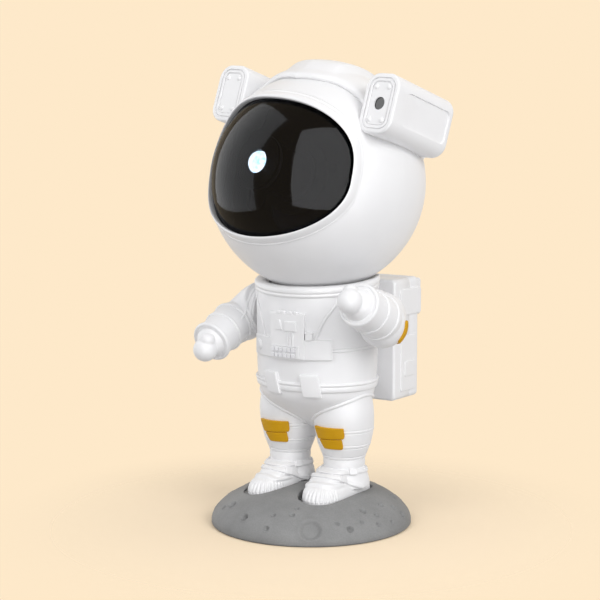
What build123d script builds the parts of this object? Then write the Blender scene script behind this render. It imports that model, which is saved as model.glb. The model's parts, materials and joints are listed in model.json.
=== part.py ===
from build123d import *
import math
import os

# Night-light star projector shaped as a figure in a space suit on a moon-like base.
# Millimetres, +Z up, origin at the centre of the base's underside, figure faces -Y.
# "Left" and "right" are the figure's own: its left side is +X.

# --- Clearances -------------------------------------------------------------------------------
SEAT = 0.05          # between pieces fixed to each other
RUN = 0.06           # radial gap of a shaft or button in its bore
BALL_GAP = 0.3       # between the head ball and what it turns in
TURN_GAP = 0.3       # between flat faces that turn past each other
TOUCH = 0.1          # play that keeps a button's flange and stem off their stops

# --- Base -------------------------------------------------------------------------------------
BASE_R = 49.1        # outer radius of the moon base
BASE_H = 19.5        # height of the crown above the floor
BASE_LIP = 1.6       # straight edge above the shell's underside
DOME_R_POWER = 3.0   # how square the dome's plan fall-off is
DOME_Z_POWER = 1.6
BASE_WALL = 2.4
PAD_T = 1.2          # anti-slip disc
PAD_MARGIN = 1.0     # pad edge to the cover screws' heads
COVER_T = 2.0
COVER_INSET = 0.3    # pad face to cover face
WEIGHT_T = 5.0
WEIGHT_BORE = 6.0
WEIGHT_MARGIN = 2.4  # ballast edge to the screw bosses
BASE_SCREW_INSET = 11.9  # dome edge to the screws' pitch circle
BASE_SCREWS = 3
BASE_SCREW_L = 5.8
BASE_SCREW_HEAD_T = 1.0
SCREW_SEAT_DEPTH = 1.2
SCREW_SPARE = 1.0    # bore left beyond a screw's tip
FOOT_SINK = 4.5      # floor of the foot sockets below the crown
SOCKET_GAP = 0.8     # dark gap around each boot
SOCKET_WALL = 2.2
RING_CRATER_R = 6.0
PIT_DEPTH = 0.9
PIT_SLOPE = 0.3      # depth of a small pit, as a share of its radius
# the large crater, then small pits: turn around the dome from the front in degrees,
# distance from the axis as a share of the base's radius
RING_CRATER = (33, 0.93)
# and the pit's radius
PITS = (
    (-58, 0.95, 2.2),
    (-40, 0.90, 1.8),
    (-34, 0.84, 2.8),
    (-12, 0.90, 2.6),
    (7, 0.95, 1.8),
    (8, 0.83, 1.6),
    (21, 0.81, 1.8),
    (23, 0.72, 1.6),
    (50, 0.90, 1.4),
    (57, 0.95, 2.2),
    (66, 0.91, 1.4),
    (72, 0.81, 2.2),
    (80, 0.88, 1.6),
    (77, 0.95, 1.6),
    (92, 0.80, 1.8),
    (89, 0.96, 1.4),
    (101, 0.87, 1.8),
    (104, 0.95, 2.2),
    (121, 0.82, 2.4),
    (135, 0.90, 2.2),
    (160, 0.77, 2.8),
    (190, 0.88, 3.2),
    (215, 0.75, 2.2),
    (240, 0.88, 2.8),
    (268, 0.79, 2.4),
    (284, 0.90, 3.0),
)

# --- Figure: legs and boots -------------------------------------------------------------------
FIG_Y = 5.0          # figure axis behind the base axis
LEG_X = 16.0         # leg axis from the middle
BOOT_H = 11.0        # socket floor to boot top, where the trouser leg starts
LEG_H = 33.0
# trouser leg outline: share of the leg's height, radius
LEG_OUTLINE = (
    (0.00, 11.0),
    (0.09, 10.6),
    (0.18, 10.2),
    (0.27, 11.5),
    (0.36, 12.2),
    (0.46, 13.0),
    (0.55, 13.6),
    (0.64, 14.1),
    (0.76, 14.2),
    (0.88, 13.6),
    (1.00, 11.5),
)
LEG_CREASES = (0.20, 0.37, 0.57)
CREASE = 0.6
BOOT_HALF_W = 10.0
BOOT_HALF_L = 23.5
BOOT_Y = -1.5        # middle of the sole
BOOT_POWER = 2.6     # how square the sole is
BOOT_SPLAY = 0.5     # toes turn outwards
TOE_H = 9.6          # top of the instep above the socket floor
# boot outline: share of the instep's height, shift to the rear, loss of half width and half length
BOOT_LEVELS = (
    (0.00, 0.0, 0.7, 0.7),
    (0.21, 0.0, 0.0, 0.0),
    (0.60, 0.1, 0.1, 0.3),
    (0.85, 0.9, 0.9, 1.9),
    (1.00, 2.6, 3.2, 5.6),
)
ANKLE_R = 12.4
ANKLE_ROUND = 1.2
KNEE_LIFT = 12.7     # lower edge of the lower knee pad above the boot top
KNEE_LOW_H = 5.3
KNEE_HIGH_H = 6.0
KNEE_STEP = 0.5
KNEE_TURN = 7.0
KNEE_HIGH_W = 20.0
KNEE_LOW_W = 17.0
KNEE_PROUD = 1.0

# --- Figure: pelvis and torso -----------------------------------------------------------------
WAIST_LIFT = 5.0     # leg top to the joint between pelvis and torso
PELVIS_H = 16.0
TORSO_H = 53.2       # waist to the collar's lower edge on the figure axis
TORSO_SPARE = 4.8    # the loft runs on above the collar's plane, which cuts it
# outline of pelvis and torso: share of the height, half width, half depth
PELVIS_OVALS = (
    (0.00, 12.0, 9.0),
    (0.19, 21.0, 15.0),
    (0.44, 27.0, 20.0),
    (0.75, 29.0, 23.3),
    (1.00, 29.0, 24.0),
)
TORSO_OVALS = (
    (0.00, 29.0, 24.0),
    (0.14, 30.4, 25.4),
    (0.31, 30.9, 25.9),
    (0.53, 31.0, 26.0),
    (0.79, 31.0, 26.2),
    (1.00, 30.6, 26.2),
)
BODY_WALL = 2.4
COLLAR_TILT = 5.7    # collar is higher at the back
COLLAR_H = 3.8
COLLAR_PROUD = 0.9
COLLAR_ROUND = 1.6
BELT_LIFT = 4.0      # above the waist
BELT_H = 4.4
BELT_PROUD = 1.0
LOOP_PROUD = 1.9     # belt loops
LOOP_W = 9.5
LOOP_BELOW = 1.8     # below the belt
LOOP_ABOVE = 4.2
LOOP_TURNS = (-19.0, 28.0)
UNIT_DROP = 11.2     # collar to the top of the chest control unit
UNIT_H = 22.4
UNIT_W = 18.0
UNIT_TURN = 4.0
UNIT_PROUD = 2.8
CHEST_PLATE_LIFT = 0.4   # band above the unit's lower edge
CHEST_PLATE_H = 9.6
CHEST_PLATE_W = 47.0
CHEST_PLATE_PROUD = 1.1
SEAM_LIFT = 5.0      # seam groove above the band's lower edge
RELIEF = 0.6         # raised marks on the unit
MARK_MARGIN = 1.2    # bumps on the top edge to the marks below them
SQUARE = 4.4
SQUARE_X = 4.2
TRIANGLE_R = 2.6
BAR_W = 0.9
BAR_L = 7.6
BAR_PITCH = 1.7
EDGE_STUD = 1.3
EDGE_STUDS = 4
STUD_R = 1.6
STUD_INSET = 4.0     # stud centre from the band's end
STUD_PROUD = 0.5
KEY_COLS = 6
KEY_ROWS = 2
KEY_W = 1.9
KEY_H = 1.7
KEY_PITCH = 2.5
KEY_MARGIN = 1.3     # keys above the unit's lower edge
KEY_PROUD = 0.7

# --- Figure: shoulders and arms ---------------------------------------------------------------
SHOULDER_DROP = 12.2 # collar to the shoulder axis
SHOULDER_R = 12.5
BOSS_STANDOFF = 0.4  # flat shoulder boss beyond the torso's side
PIN_R = 3.0
PIN_INWARDS = 7.4    # from the boss face
PIN_OUTWARDS = 7.6
PIN_FLANGE_R = 5.0
PIN_FLANGE_T = 1.4
PIN_TO_DECK = 0.5
ELBOW_OUT = 12.1     # from the boss face
ELBOW_Y = -3.0
ELBOW_Z = -6.0
ELBOW_R = 11.5
UPPER_ARM_R = 11.8
UPPER_ARM_DROP = 1.0
UPPER_ARM_LOSS = 0.1 # the upper arm meets the elbow this much smaller
SLEEVE_LOSS = 0.6
CUFF_OUT = 0.5       # cuff from the elbow
CUFF_AHEAD = 29.6
CUFF_LIFT = 4.9
CUFF_R = 9.1
CUFF_RISE = 7.0      # forearm axis climbs towards the hand
FOREARM_L = 27.0
ARM_RINGS = (6.0, 13.5)
ARM_RING_R = 1.1
HAND_REACH = 6.0     # fist centre beyond the cuff
FIST_R = 5.4
WRIST_R = 4.2
THUMB_R = 3.0
THUMB_BACK = 1.5
THUMB_UP = 4.1
THUMB_IN = -1.7
HAND_SHIFT = -1.0
LEFT_ARM_RISE = 17.0
RIGHT_ARM_RISE = -29.0
PATCH_PROUD = 0.9
PATCH_SINK = 0.6
PATCH_W = 13.0
PATCH_BELOW = 12.0
PATCH_ABOVE = 2.0

# --- Backpack ---------------------------------------------------------------------------------
PACK_HALF_W = 29.5
PACK_SINK = 1.7      # front of the pack inside the torso's back
PACK_FRONT_T = 14.5  # front half, up to the joint
PACK_REAR_T = 8.5
PACK_BELOW = 6.0     # below the waist
PACK_ABOVE = 1.2     # above the collar's lower edge
PACK_ROUND = 2.4
PACK_WALL = 2.4
HATCH_MARGIN_Z = 1.0 # deeper upper block, from the pack's top
HATCH_MARGIN_X = 0.3
HATCH_H = 18.4
HATCH_T = 3.4
HATCH_ROUND = 1.4
SIDE_PANEL_PROUD = 0.7
SIDE_PANEL_MARGIN = 6.0

# --- Neck -------------------------------------------------------------------------------------
DECK_DROP = 10.0     # collar's lower edge to the deck that carries the neck seat
DECK_T = 2.6
NECK_R = 23.0
NECK_H = 7.8
NECK_DISH = 3.6      # the ball sinks this deep into the seat
NECK_POST_R = 4.0
NECK_POST_H = 2.0
MAGNET_R = 10.0
MAGNET_T = 2.0
MAGNET_LIFT = 0.2    # magnet face above the deck

# --- Head -------------------------------------------------------------------------------------
HEAD_R = 52.5
HEAD_WALL = 2.5
HEAD_TURN = -7.5     # about +Z
HEAD_NOD = -16.9     # about +X: looks up
HEAD_ROLL = 2.7      # about +Y
REAR_DEPTH = 17.7    # depth of the rear cover
OPEN_SIDE = 7.4      # ball's edge to the visor opening, seen from the front
OPEN_OVER = 19.9
OPEN_MID_Z = -2.9
OPEN_TOP_POWER = 2.55
OPEN_LOW_POWER = 2.0
RIM_SIDE_W = 1.9
RIM_TOP_W = 5.0
RIM_LOW_W = 3.6
RIM_PROUD = 1.0
RIM_T = 3.6
VISOR_SINK = 1.5
VISOR_T = 2.0
VISOR_LIP = 1.4
HOOD_T = 3.2
HOOD_GAP = 0.15      # between hood and lamp boxes
HOOD_FRONT = 32.0    # degrees ahead of straight up
HOOD_BACK = 52.0
RIDGE_HALF_W = 13.0
RIDGE_RISE = 3.3
RIDGE_SLOPE = 4.5
RIDGE_SINK = 1.0     # foot of the ridge's flank inside the hood
RIDGE_FRONT = 36.0
RIDGE_BACK = 56.0

# lamp boxes on the sides of the head
LAMP_SINK = 4.6      # middle of the box inside the ball's side
LAMP_CORNER_SINK = 9.0  # its lower inner corner inside the ball
LAMP_W = 19.5
LAMP_H = 28.6
LAMP_AHEAD = 24.6
LAMP_BEHIND = 20.0
LAMP_ROUND = 7.0
LAMP_WALL = 2.1
CAP_T = 2.2
CAP_SINK = 0.5
CAP_GROOVE = 0.6
CAP_GROOVES = (2.0, 3.4)
RIVET_R = 0.9
RIVET_PROUD = 0.5
RIVET_DX = 3.6
RIVET_DZ = 7.8
STAR_HOLE_R = 3.0
STAR_SINK = 0.6
LASER_R = 4.5
LASER_L = 14.0
LASER_HOLD_AT = 4.7
LASER_HOLD_T = 3.0
GRATING_T = 0.8

# optics on the bulkhead behind the visor
AXIS_Z = -1.0        # optical axis, head-local
BULK_Y = -6.0        # front face of the bulkhead
BULK_T = 2.0
BULK_WINDOW_R = 9.5
CABLE_SLOT_L = 30.0
CABLE_SLOT_W = 12.0
CABLE_SLOT_INSET = 18.2
CABLE_SLOT_Z = -4.0
LENS_GAP = 5.2       # visor to the front of the lens barrel
LENS_R = 5.6
LENS_T = 4.0
LENS_RIM_T = 1.5
BARREL_R = 11.0
BARREL_WALL = 2.4
BEZEL_PROUD = 2.0
BEZEL_T = 2.0
STOP_T = 1.5
BARREL_TO_DISC = 2.4
CARRIER_AHEAD = 10.0 # lens carrier ahead of the bulkhead
CARRIER_T = 2.0
CARRIER_EDGE = 3.0
POST_R = 2.4
POST_PITCH = 15.6
POST_TURNS = (30, 90, 150)
DISC_R = 17.0
DISC_T = 1.6
DISC_DROP = 10.0     # disc centre below the optical axis
DISC_AHEAD = 4.2
DISC_AXLE_R = 1.5
AXLE_SPARE = 1.5
ROLLER_R = 3.0
ROLLER_GAP = 0.12
ROLLER_EDGE = 0.6
MOTOR_R = 6.0
MOTOR_L = 16.0
MOTOR_END_T = 3.0
MOTOR_CLEAR = 1.0
SHAFT_R = 1.0
SHAFT_CLEAR = 0.6
LED_BOARD_R = 12.0
LED_BOARD_T = 1.6
LED_R = 2.6
SINK_R = 14.0
SINK_L = 15.0
SINK_SLOTS = 5
SINK_SLOT_W = 2.0
SINK_SLOT_L = 11.0

# electronics and controls at the back
BOARD_AHEAD = 4.0    # board ahead of the rear cover's joint plane
BOARD_W = 50.0
BOARD_T = 1.6
BOARD_ROUND = 3.0
BOARD_GAP = 0.45     # board edge to the screw bosses
BOARD_POST_R = 2.6
BOARD_POST_INSET = (5.0, 4.0)
# chips on the board's front: centre x, centre z, width, height, thickness
CHIPS = (
    (-13.0, -9.0, 10.0, 10.0, 3.0),
    (11.0, 8.0, 10.0, 12.0, 4.0),
)
SWITCH_W = 6.0
SWITCH_H = 1.4
PANEL_W = 36.0
PANEL_H = 13.0
PANEL_PROUD = 0.6
BUTTON_R = 4.0
BUTTON_PITCH = 11.0
BUTTON_PROUD = 1.3
BUTTON_TRAVEL = 0.8
BUTTON_STEM_R = 1.6
BUTTON_FLANGE = 0.8
BUTTON_FLANGE_T = 1.2
INLET_Z = -15.0
INLET_W = 9.0
INLET_H = 3.3
INLET_WALL = 0.35
INLET_DEPTH = 7.0
INLET_SINK = 0.4
TONGUE_W = 6.6
TONGUE_T = 0.7
HEAD_SCREW_INSET = 4.95  # rear cover's edge to the screws' pitch circle
HEAD_SCREW_SINK = 0.3
SCREW_SHANK_R = 1.3
SCREW_HEAD_R = 2.5
SCREW_HEAD_T = 1.6
SCREW_L = 12.0
BOSS_R = 3.6
KEEPER_R = 17.0
KEEPER_T = 1.5
KEEPER_CLEAR = (1.0, 0.5)  # bulkhead's notch around the keeper: sideways, above it

# --- Places that follow from the sizes above --------------------------------------------------
COVER_TOP = COVER_INSET + COVER_T
SCREW_SEAT_Z = COVER_INSET + SCREW_SEAT_DEPTH
BASE_SCREW_TIP_Z = SCREW_SEAT_Z + BASE_SCREW_L
BASE_SCREW_R = BASE_R - BASE_SCREW_INSET
WEIGHT_R = BASE_SCREW_R - BOSS_R - WEIGHT_MARGIN
FOOT_SINK_Z = BASE_H - FOOT_SINK
LEG_LOW_Z = FOOT_SINK_Z + BOOT_H
LEG_TOP_Z = LEG_LOW_Z + LEG_H
KNEE_Z = LEG_LOW_Z + KNEE_LIFT
WAIST_Z = LEG_TOP_Z + WAIST_LIFT
PELVIS_LOW_Z = WAIST_Z - PELVIS_H
COLLAR_Z = WAIST_Z + TORSO_H
TORSO_TOP_Z = COLLAR_Z + TORSO_SPARE
TORSO_HALF_W = max(half_w for share, half_w, half_d in TORSO_OVALS)
TORSO_HALF_D = max(half_d for share, half_w, half_d in TORSO_OVALS)
BELT_Z = WAIST_Z + BELT_LIFT
UNIT_TOP_Z = COLLAR_Z - UNIT_DROP
UNIT_LOW_Z = UNIT_TOP_Z - UNIT_H
CHEST_PLATE_Z = UNIT_LOW_Z + CHEST_PLATE_LIFT
SEAM_Z = CHEST_PLATE_Z + SEAM_LIFT
KEY_LOW_Z = UNIT_LOW_Z + KEY_MARGIN
SHOULDER_Z = COLLAR_Z - SHOULDER_DROP
SHOULDER_X = TORSO_HALF_W + BOSS_STANDOFF
PIN_INSIDE = SHOULDER_X - PIN_INWARDS
PIN_OUTSIDE = SHOULDER_X + PIN_OUTWARDS
ELBOW_X = SHOULDER_X + ELBOW_OUT
PACK_FRONT_Y = FIG_Y + TORSO_HALF_D - PACK_SINK
PACK_SPLIT_Y = PACK_FRONT_Y + PACK_FRONT_T
PACK_BACK_Y = PACK_SPLIT_Y + PACK_REAR_T
PACK_LOW_Z = WAIST_Z - PACK_BELOW
PACK_TOP_Z = COLLAR_Z + PACK_ABOVE
HATCH_TOP_Z = PACK_TOP_Z - HATCH_MARGIN_Z
HATCH_LOW_Z = HATCH_TOP_Z - HATCH_H
DECK_Z = COLLAR_Z - DECK_DROP
NECK_LOW_Z = DECK_Z + DECK_T
NECK_TOP_Z = NECK_LOW_Z + NECK_H
MAGNET_LOW_Z = NECK_LOW_Z + MAGNET_LIFT
HEAD_Z = NECK_TOP_Z - NECK_DISH + HEAD_R
HEAD_INNER = HEAD_R - HEAD_WALL
HEAD_FRAME = Pos(0, FIG_Y, HEAD_Z) * Rot(Z=HEAD_TURN) * Rot(X=HEAD_NOD) * Rot(Y=HEAD_ROLL)
REAR_SPLIT = HEAD_R - REAR_DEPTH
REAR_EDGE_R = math.sqrt(HEAD_R ** 2 - REAR_SPLIT ** 2)
HEAD_SCREW_PITCH = REAR_EDGE_R - HEAD_SCREW_INSET
OPEN_HALF_W = HEAD_R - OPEN_SIDE
OPEN_UP = HEAD_R - OPEN_OVER
VISOR_INNER = HEAD_R - VISOR_SINK - VISOR_T
LAMP_X = HEAD_R - LAMP_SINK
LAMP_CORNER_X = LAMP_X - LAMP_W / 2
LAMP_LOW_Z = math.sqrt((HEAD_R - LAMP_CORNER_SINK) ** 2 - LAMP_CORNER_X ** 2)
LAMP_MID_Z = LAMP_LOW_Z + LAMP_H / 2
CAP_FRONT = CAP_SINK - LAMP_AHEAD
HOOD_HALF_W = LAMP_CORNER_X - HOOD_GAP
BULK_BACK = BULK_Y + BULK_T
LENS_Y = LENS_GAP - VISOR_INNER
CARRIER_Y = BULK_Y - CARRIER_AHEAD
DISC_Y = BULK_Y - DISC_AHEAD
DISC_Z = AXIS_Z - DISC_DROP
MOTOR_Z = DISC_Z - DISC_R - ROLLER_GAP - ROLLER_R
BOARD_Y = REAR_SPLIT - BOARD_AHEAD
BOARD_BACK = BOARD_Y + BOARD_T
BOARD_H = 2 * (HEAD_SCREW_PITCH / math.sqrt(2) - BOSS_R - BOARD_GAP)
OVAL_POINTS = 28     # points on a super-ellipse
BOOT_POINTS = 16     # and on each outline of a boot
FAR = 400.0          # larger than anything here


# --- Shape helpers ----------------------------------------------------------------------------

def block(x0, x1, y0, y1, z0, z1):
    """Box between two corners."""
    middle = Pos((x0 + x1) / 2, (y0 + y1) / 2, (z0 + z1) / 2)
    return middle * Box(x1 - x0, y1 - y0, z1 - z0)


def rod_z(radius, z0, z1, x=0.0, y=0.0):
    return Pos(x, y, (z0 + z1) / 2) * Cylinder(radius, z1 - z0)


def rod_y(radius, y0, y1, x=0.0, z=0.0):
    return Pos(x, (y0 + y1) / 2, z) * Rot(X=90) * Cylinder(radius, y1 - y0)


def rod_x(radius, x0, x1, y=0.0, z=0.0):
    return Pos((x0 + x1) / 2, y, z) * Rot(Y=90) * Cylinder(radius, x1 - x0)


def along_y(sketch, y0, y1):
    """Extrude a sketch drawn in X and Z from y0 to y1."""
    return extrude(Plane.XZ.offset(-y1) * sketch, amount=y1 - y0)


def limb(start, start_r, end, end_r):
    """Round tapering segment between two points."""
    reach = Vector(*end) - Vector(*start)
    grip = (Align.CENTER, Align.CENTER, Align.MIN)
    return Plane(origin=start, z_dir=reach) * Cone(start_r, end_r, reach.length, align=grip)


def super_oval(half_x, up, down, top_power, low_power, points=OVAL_POINTS):
    """Face with a super-ellipse edge, whose upper and lower halves differ."""
    edge = []
    for step in range(points):
        turn = 2 * math.pi * step / points
        c = math.cos(turn)
        s = math.sin(turn)
        power = top_power if s >= 0 else low_power
        reach = up if s >= 0 else down
        x = half_x * math.copysign(abs(c) ** (2 / power), c)
        y = reach * math.copysign(abs(s) ** (2 / power), s)
        edge.append((x, y))
    return make_face(Spline(*edge, periodic=True))


def shell_between(inner_r, outer_r):
    return Sphere(outer_r) - Sphere(inner_r)


# --- Base -------------------------------------------------------------------------------------

def dome_height(radius, full_r, full_h):
    share = min(1.0, radius / full_r)
    return full_h * (1 - share ** DOME_R_POWER) ** (1 / DOME_Z_POWER)


def dome_solid(full_r, full_h, floor_z, lip):
    """Moon dome: flat underside at floor_z, straight lip, crown at full_h."""
    shares = (0.0, 0.25, 0.45, 0.62, 0.75, 0.85, 0.92, 0.965, 0.99)
    crown = []
    for share in shares:
        radius = share * full_r
        crown.append((radius, floor_z + lip + dome_height(radius, full_r, full_h - lip - floor_z)))
    crown.append((full_r, floor_z + lip))
    top = Spline(*crown, tangents=((1, 0), (0, -1)))
    side = Polyline((full_r, floor_z + lip), (full_r, floor_z), (0, floor_z), crown[0])
    return revolve(Plane.XZ * make_face(top + side), Axis.Z)


def boot_outline(grow):
    half_l = BOOT_HALF_L + grow
    return super_oval(BOOT_HALF_W + grow, half_l, half_l, BOOT_POWER, BOOT_POWER)


def boot_place(side):
    """Frame of the sole: middle of the boot, turned so that the toes point outwards."""
    return Pos(side * LEG_X, BOOT_Y, 0) * Rot(Z=side * BOOT_SPLAY)


def base_screw_spots():
    spots = []
    for index in range(BASE_SCREWS):
        turn = math.radians(360 * index / BASE_SCREWS + 90)
        spots.append((BASE_SCREW_R * math.cos(turn), BASE_SCREW_R * math.sin(turn)))
    return spots


def base_shell():
    shell = dome_solid(BASE_R, BASE_H, COVER_INSET, BASE_LIP)
    cavity = dome_solid(BASE_R - BASE_WALL, BASE_H - BASE_WALL, COVER_INSET, BASE_LIP)
    for side in (-1, 1):
        pocket = extrude(boot_outline(SOCKET_GAP + SOCKET_WALL), amount=BASE_H)
        cavity -= boot_place(side) * Pos(0, 0, FOOT_SINK_Z - SOCKET_WALL) * pocket
    for x, y in base_screw_spots():
        cavity -= rod_z(BOSS_R, COVER_TOP, BASE_H, x, y)
    shell -= cavity
    for side in (-1, 1):
        foot = extrude(boot_outline(SOCKET_GAP), amount=BASE_H)
        shell -= boot_place(side) * Pos(0, 0, FOOT_SINK_Z) * foot
    for x, y in base_screw_spots():
        shell -= rod_z(SCREW_SHANK_R, 0, BASE_SCREW_TIP_Z + SCREW_SPARE, x, y)
    shell -= crater(*RING_CRATER, RING_CRATER_R, PIT_DEPTH)
    for turn, share, radius in PITS:
        shell -= crater(turn, share, radius, PIT_SLOPE * radius)
    return shell


def crown_height(radius):
    """Height of the dome's outer face above the floor."""
    foot = COVER_INSET + BASE_LIP
    return foot + dome_height(radius, BASE_R, BASE_H - foot)


def crater(turn, share, radius, depth):
    """Ball that presses a shallow pit of the given rim radius into the dome."""
    ball = (radius ** 2 + depth ** 2) / (2 * depth)
    reach = share * BASE_R
    step = radius / 2
    fall = (crown_height(reach - step) - crown_height(reach + step)) / (2 * step)
    steep = math.hypot(1, fall)
    lift = ball - depth
    out = reach + lift * fall / steep
    phi = math.radians(turn)
    height = crown_height(reach) + lift / steep
    return Pos(out * math.sin(phi), -out * math.cos(phi), height) * Sphere(ball)


def pad_radius():
    return BASE_SCREW_R - SCREW_HEAD_R - PAD_MARGIN


def base_pad():
    """Anti-slip disc inside the circle of cover screws."""
    return rod_z(pad_radius(), 0, PAD_T)


def base_cover():
    """Plate under the base, with a recess for the pad and countersunk screw seats."""
    plate = rod_z(BASE_R - BASE_WALL - SEAT, COVER_INSET, COVER_TOP)
    for x, y in base_screw_spots():
        plate -= rod_z(SCREW_SHANK_R + SEAT, 0, BASE_H, x, y)
        plate -= rod_z(SCREW_HEAD_R + SEAT, 0, SCREW_SEAT_Z, x, y)
    return plate - rod_z(pad_radius() + SEAT, 0, PAD_T)


def base_screws():
    group = []
    for x, y in base_screw_spots():
        head = rod_z(SCREW_HEAD_R, SCREW_SEAT_Z - BASE_SCREW_HEAD_T, SCREW_SEAT_Z, x, y)
        shank = rod_z(SCREW_SHANK_R - SEAT, SCREW_SEAT_Z, BASE_SCREW_TIP_Z, x, y)
        group.append(head + shank)
    return Compound(children=group)


def base_weight():
    disc = rod_z(WEIGHT_R, COVER_TOP, COVER_TOP + WEIGHT_T)
    return disc - rod_z(WEIGHT_BORE, 0, BASE_H)


# --- Legs and boots ---------------------------------------------------------------------------

def leg_height(share):
    return LEG_LOW_Z + share * LEG_H


def leg_form(grow):
    """Solid of revolution of one trouser leg about its own axis."""
    edge = [(radius + grow, leg_height(share)) for share, radius in LEG_OUTLINE]
    ends = Polyline(edge[0], (0, edge[0][1]), (0, edge[-1][1]), edge[-1])
    return revolve(Plane.XZ * make_face(Spline(*edge) + ends), Axis.Z)


def leg_place(side):
    return Pos(side * LEG_X, FIG_Y, 0)


def leg_radius(share):
    """Radius of the trouser leg at a share of its height, between its outline's points."""
    for (low, low_r), (high, high_r) in zip(LEG_OUTLINE, LEG_OUTLINE[1:]):
        if low <= share <= high:
            return low_r + (high_r - low_r) * (share - low) / (high - low)


def leg(side):
    solid = leg_form(0)
    for share in LEG_CREASES:
        groove = Torus(leg_radius(share) + CREASE / 3, CREASE)
        solid -= Pos(0, 0, leg_height(share)) * groove
    return leg_place(side) * solid


def boot(side):
    """Moulded boot: sole, rounded toe cap and instep, and a padded ankle cuff."""
    faces = []
    for share, shift, less_w, less_l in BOOT_LEVELS:
        half_l = BOOT_HALF_L - less_l
        half_w = BOOT_HALF_W - less_w
        outline = super_oval(half_w, half_l, half_l, BOOT_POWER, BOOT_POWER, BOOT_POINTS)
        faces.append(Pos(0, shift, FOOT_SINK_Z + share * TOE_H) * outline)
    foot = boot_place(side) * loft(faces)
    ankle = leg_place(side) * rod_z(ANKLE_R, BASE_H + SOCKET_GAP, LEG_LOW_Z)
    return foot + fillet(ankle.edges(), ANKLE_ROUND)


def knee_patches():
    """Two stacked pads on the front of each knee."""
    group = []
    skin = leg_form(KNEE_PROUD) - leg_form(SEAT)
    hips = pelvis_form(SEAT)
    low_top = KNEE_Z + KNEE_LOW_H
    high_low = low_top + KNEE_STEP
    rows = (
        (KNEE_Z, low_top, KNEE_LOW_W),
        (high_low, high_low + KNEE_HIGH_H, KNEE_HIGH_W),
    )
    for side in (-1, 1):
        for z0, z1, width in rows:
            window = block(-width / 2, width / 2, -FAR, 0, z0, z1)
            pad = leg_place(side) * Rot(Z=KNEE_TURN) * (skin & window)
            group.extend((pad - hips).solids())
    return Compound(children=group)


# --- Pelvis and torso -------------------------------------------------------------------------

def oval_stack(ovals, low, high, grow):
    """Smooth body through ellipses on the figure's axis."""
    faces = []
    for share, half_w, half_d in ovals:
        oval = Ellipse(half_w + grow, half_d + grow)
        faces.append(Pos(0, FIG_Y, low + share * (high - low)) * oval)
    return loft(faces)


def pelvis_form(grow):
    return oval_stack(PELVIS_OVALS, PELVIS_LOW_Z, WAIST_Z, grow)


def torso_form(grow):
    return oval_stack(TORSO_OVALS, WAIST_Z, TORSO_TOP_Z, grow)


def pelvis():
    solid = pelvis_form(0)
    floor_z = PELVIS_LOW_Z + PELVIS_OVALS[1][0] * PELVIS_H
    solid -= pelvis_form(-BODY_WALL) & block(-FAR, FAR, -FAR, FAR, floor_z, FAR)
    for side in (-1, 1):
        solid -= leg_place(side) * leg_form(SEAT)
    return solid


def collar_plane():
    return Pos(0, FIG_Y, COLLAR_Z) * Rot(X=COLLAR_TILT)


def above_collar_plane():
    return collar_plane() * Pos(0, 0, FAR / 2) * Box(FAR, FAR, FAR)


def torso_shell():
    solid = torso_form(0)
    for side in (-1, 1):
        boss = rod_x(SHOULDER_R, 0, SHOULDER_X, FIG_Y, SHOULDER_Z)
        if side < 0:
            boss = mirror(boss, about=Plane.YZ)
        solid += boss
    solid -= torso_form(-BODY_WALL)
    solid -= seam_ring()
    for side in (-1, 1):
        low, high = sorted((0, side * FAR))
        solid -= rod_x(PIN_R + RUN, low, high, FIG_Y, SHOULDER_Z)
    return solid - above_collar_plane()


def seam_ring():
    """Fine groove around the torso."""
    ring = torso_form(CREASE) - torso_form(-CREASE)
    return ring & block(-FAR, FAR, -FAR, FAR, SEAM_Z, SEAM_Z + CREASE)


def deck():
    """Deck inside the torso with the post on which the neck seat turns."""
    half_w = PIN_INSIDE - PIN_TO_DECK
    slab = block(-half_w, half_w, -FAR, FAR, DECK_Z, NECK_LOW_Z)
    rear = block(-FAR, FAR, FIG_Y, FAR, 0, FAR)
    plate = (torso_form(-BODY_WALL / 2) & slab & rear) + (torso_form(-BODY_WALL - SEAT) & slab)
    return plate + rod_z(NECK_POST_R, NECK_LOW_Z, NECK_LOW_Z + NECK_POST_H, 0, FIG_Y)


def torso_halves():
    shell = torso_shell()
    front = shell & block(-FAR, FAR, -FAR, FIG_Y, 0, FAR)
    back = shell & block(-FAR, FAR, FIG_Y, FAR, 0, FAR)
    return front, back + deck()


def around(turn):
    """Frame on the figure's axis whose -Y looks the given degrees towards +X."""
    return Pos(0, FIG_Y, 0) * Rot(Z=turn)


def wrap(turn, width, z0, z1, inner, outer):
    """Piece that follows the torso's skin inside a window seen from the given side."""
    window = around(turn) * block(-width / 2, width / 2, -FAR, 0, z0, z1)
    return (torso_form(outer) & window) - torso_form(inner)


def belt_ring(grow):
    """Everything inside the belt's outer face, over the belt's height."""
    slab = block(-FAR, FAR, -FAR, FAR, BELT_Z - grow, BELT_Z + BELT_H + grow)
    return torso_form(BELT_PROUD + grow) & slab


def belt():
    ring = belt_ring(0) - torso_form(SEAT)
    low = BELT_Z - LOOP_BELOW
    high = BELT_Z + BELT_H + LOOP_ABOVE
    for turn in LOOP_TURNS:
        ring += wrap(turn, LOOP_W, low, high, SEAT, LOOP_PROUD)
    return ring


def chest_plate_window():
    half = CHEST_PLATE_W / 2
    return around(0) * block(-half, half, -FAR, 0, CHEST_PLATE_Z, CHEST_PLATE_Z + CHEST_PLATE_H)


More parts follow.
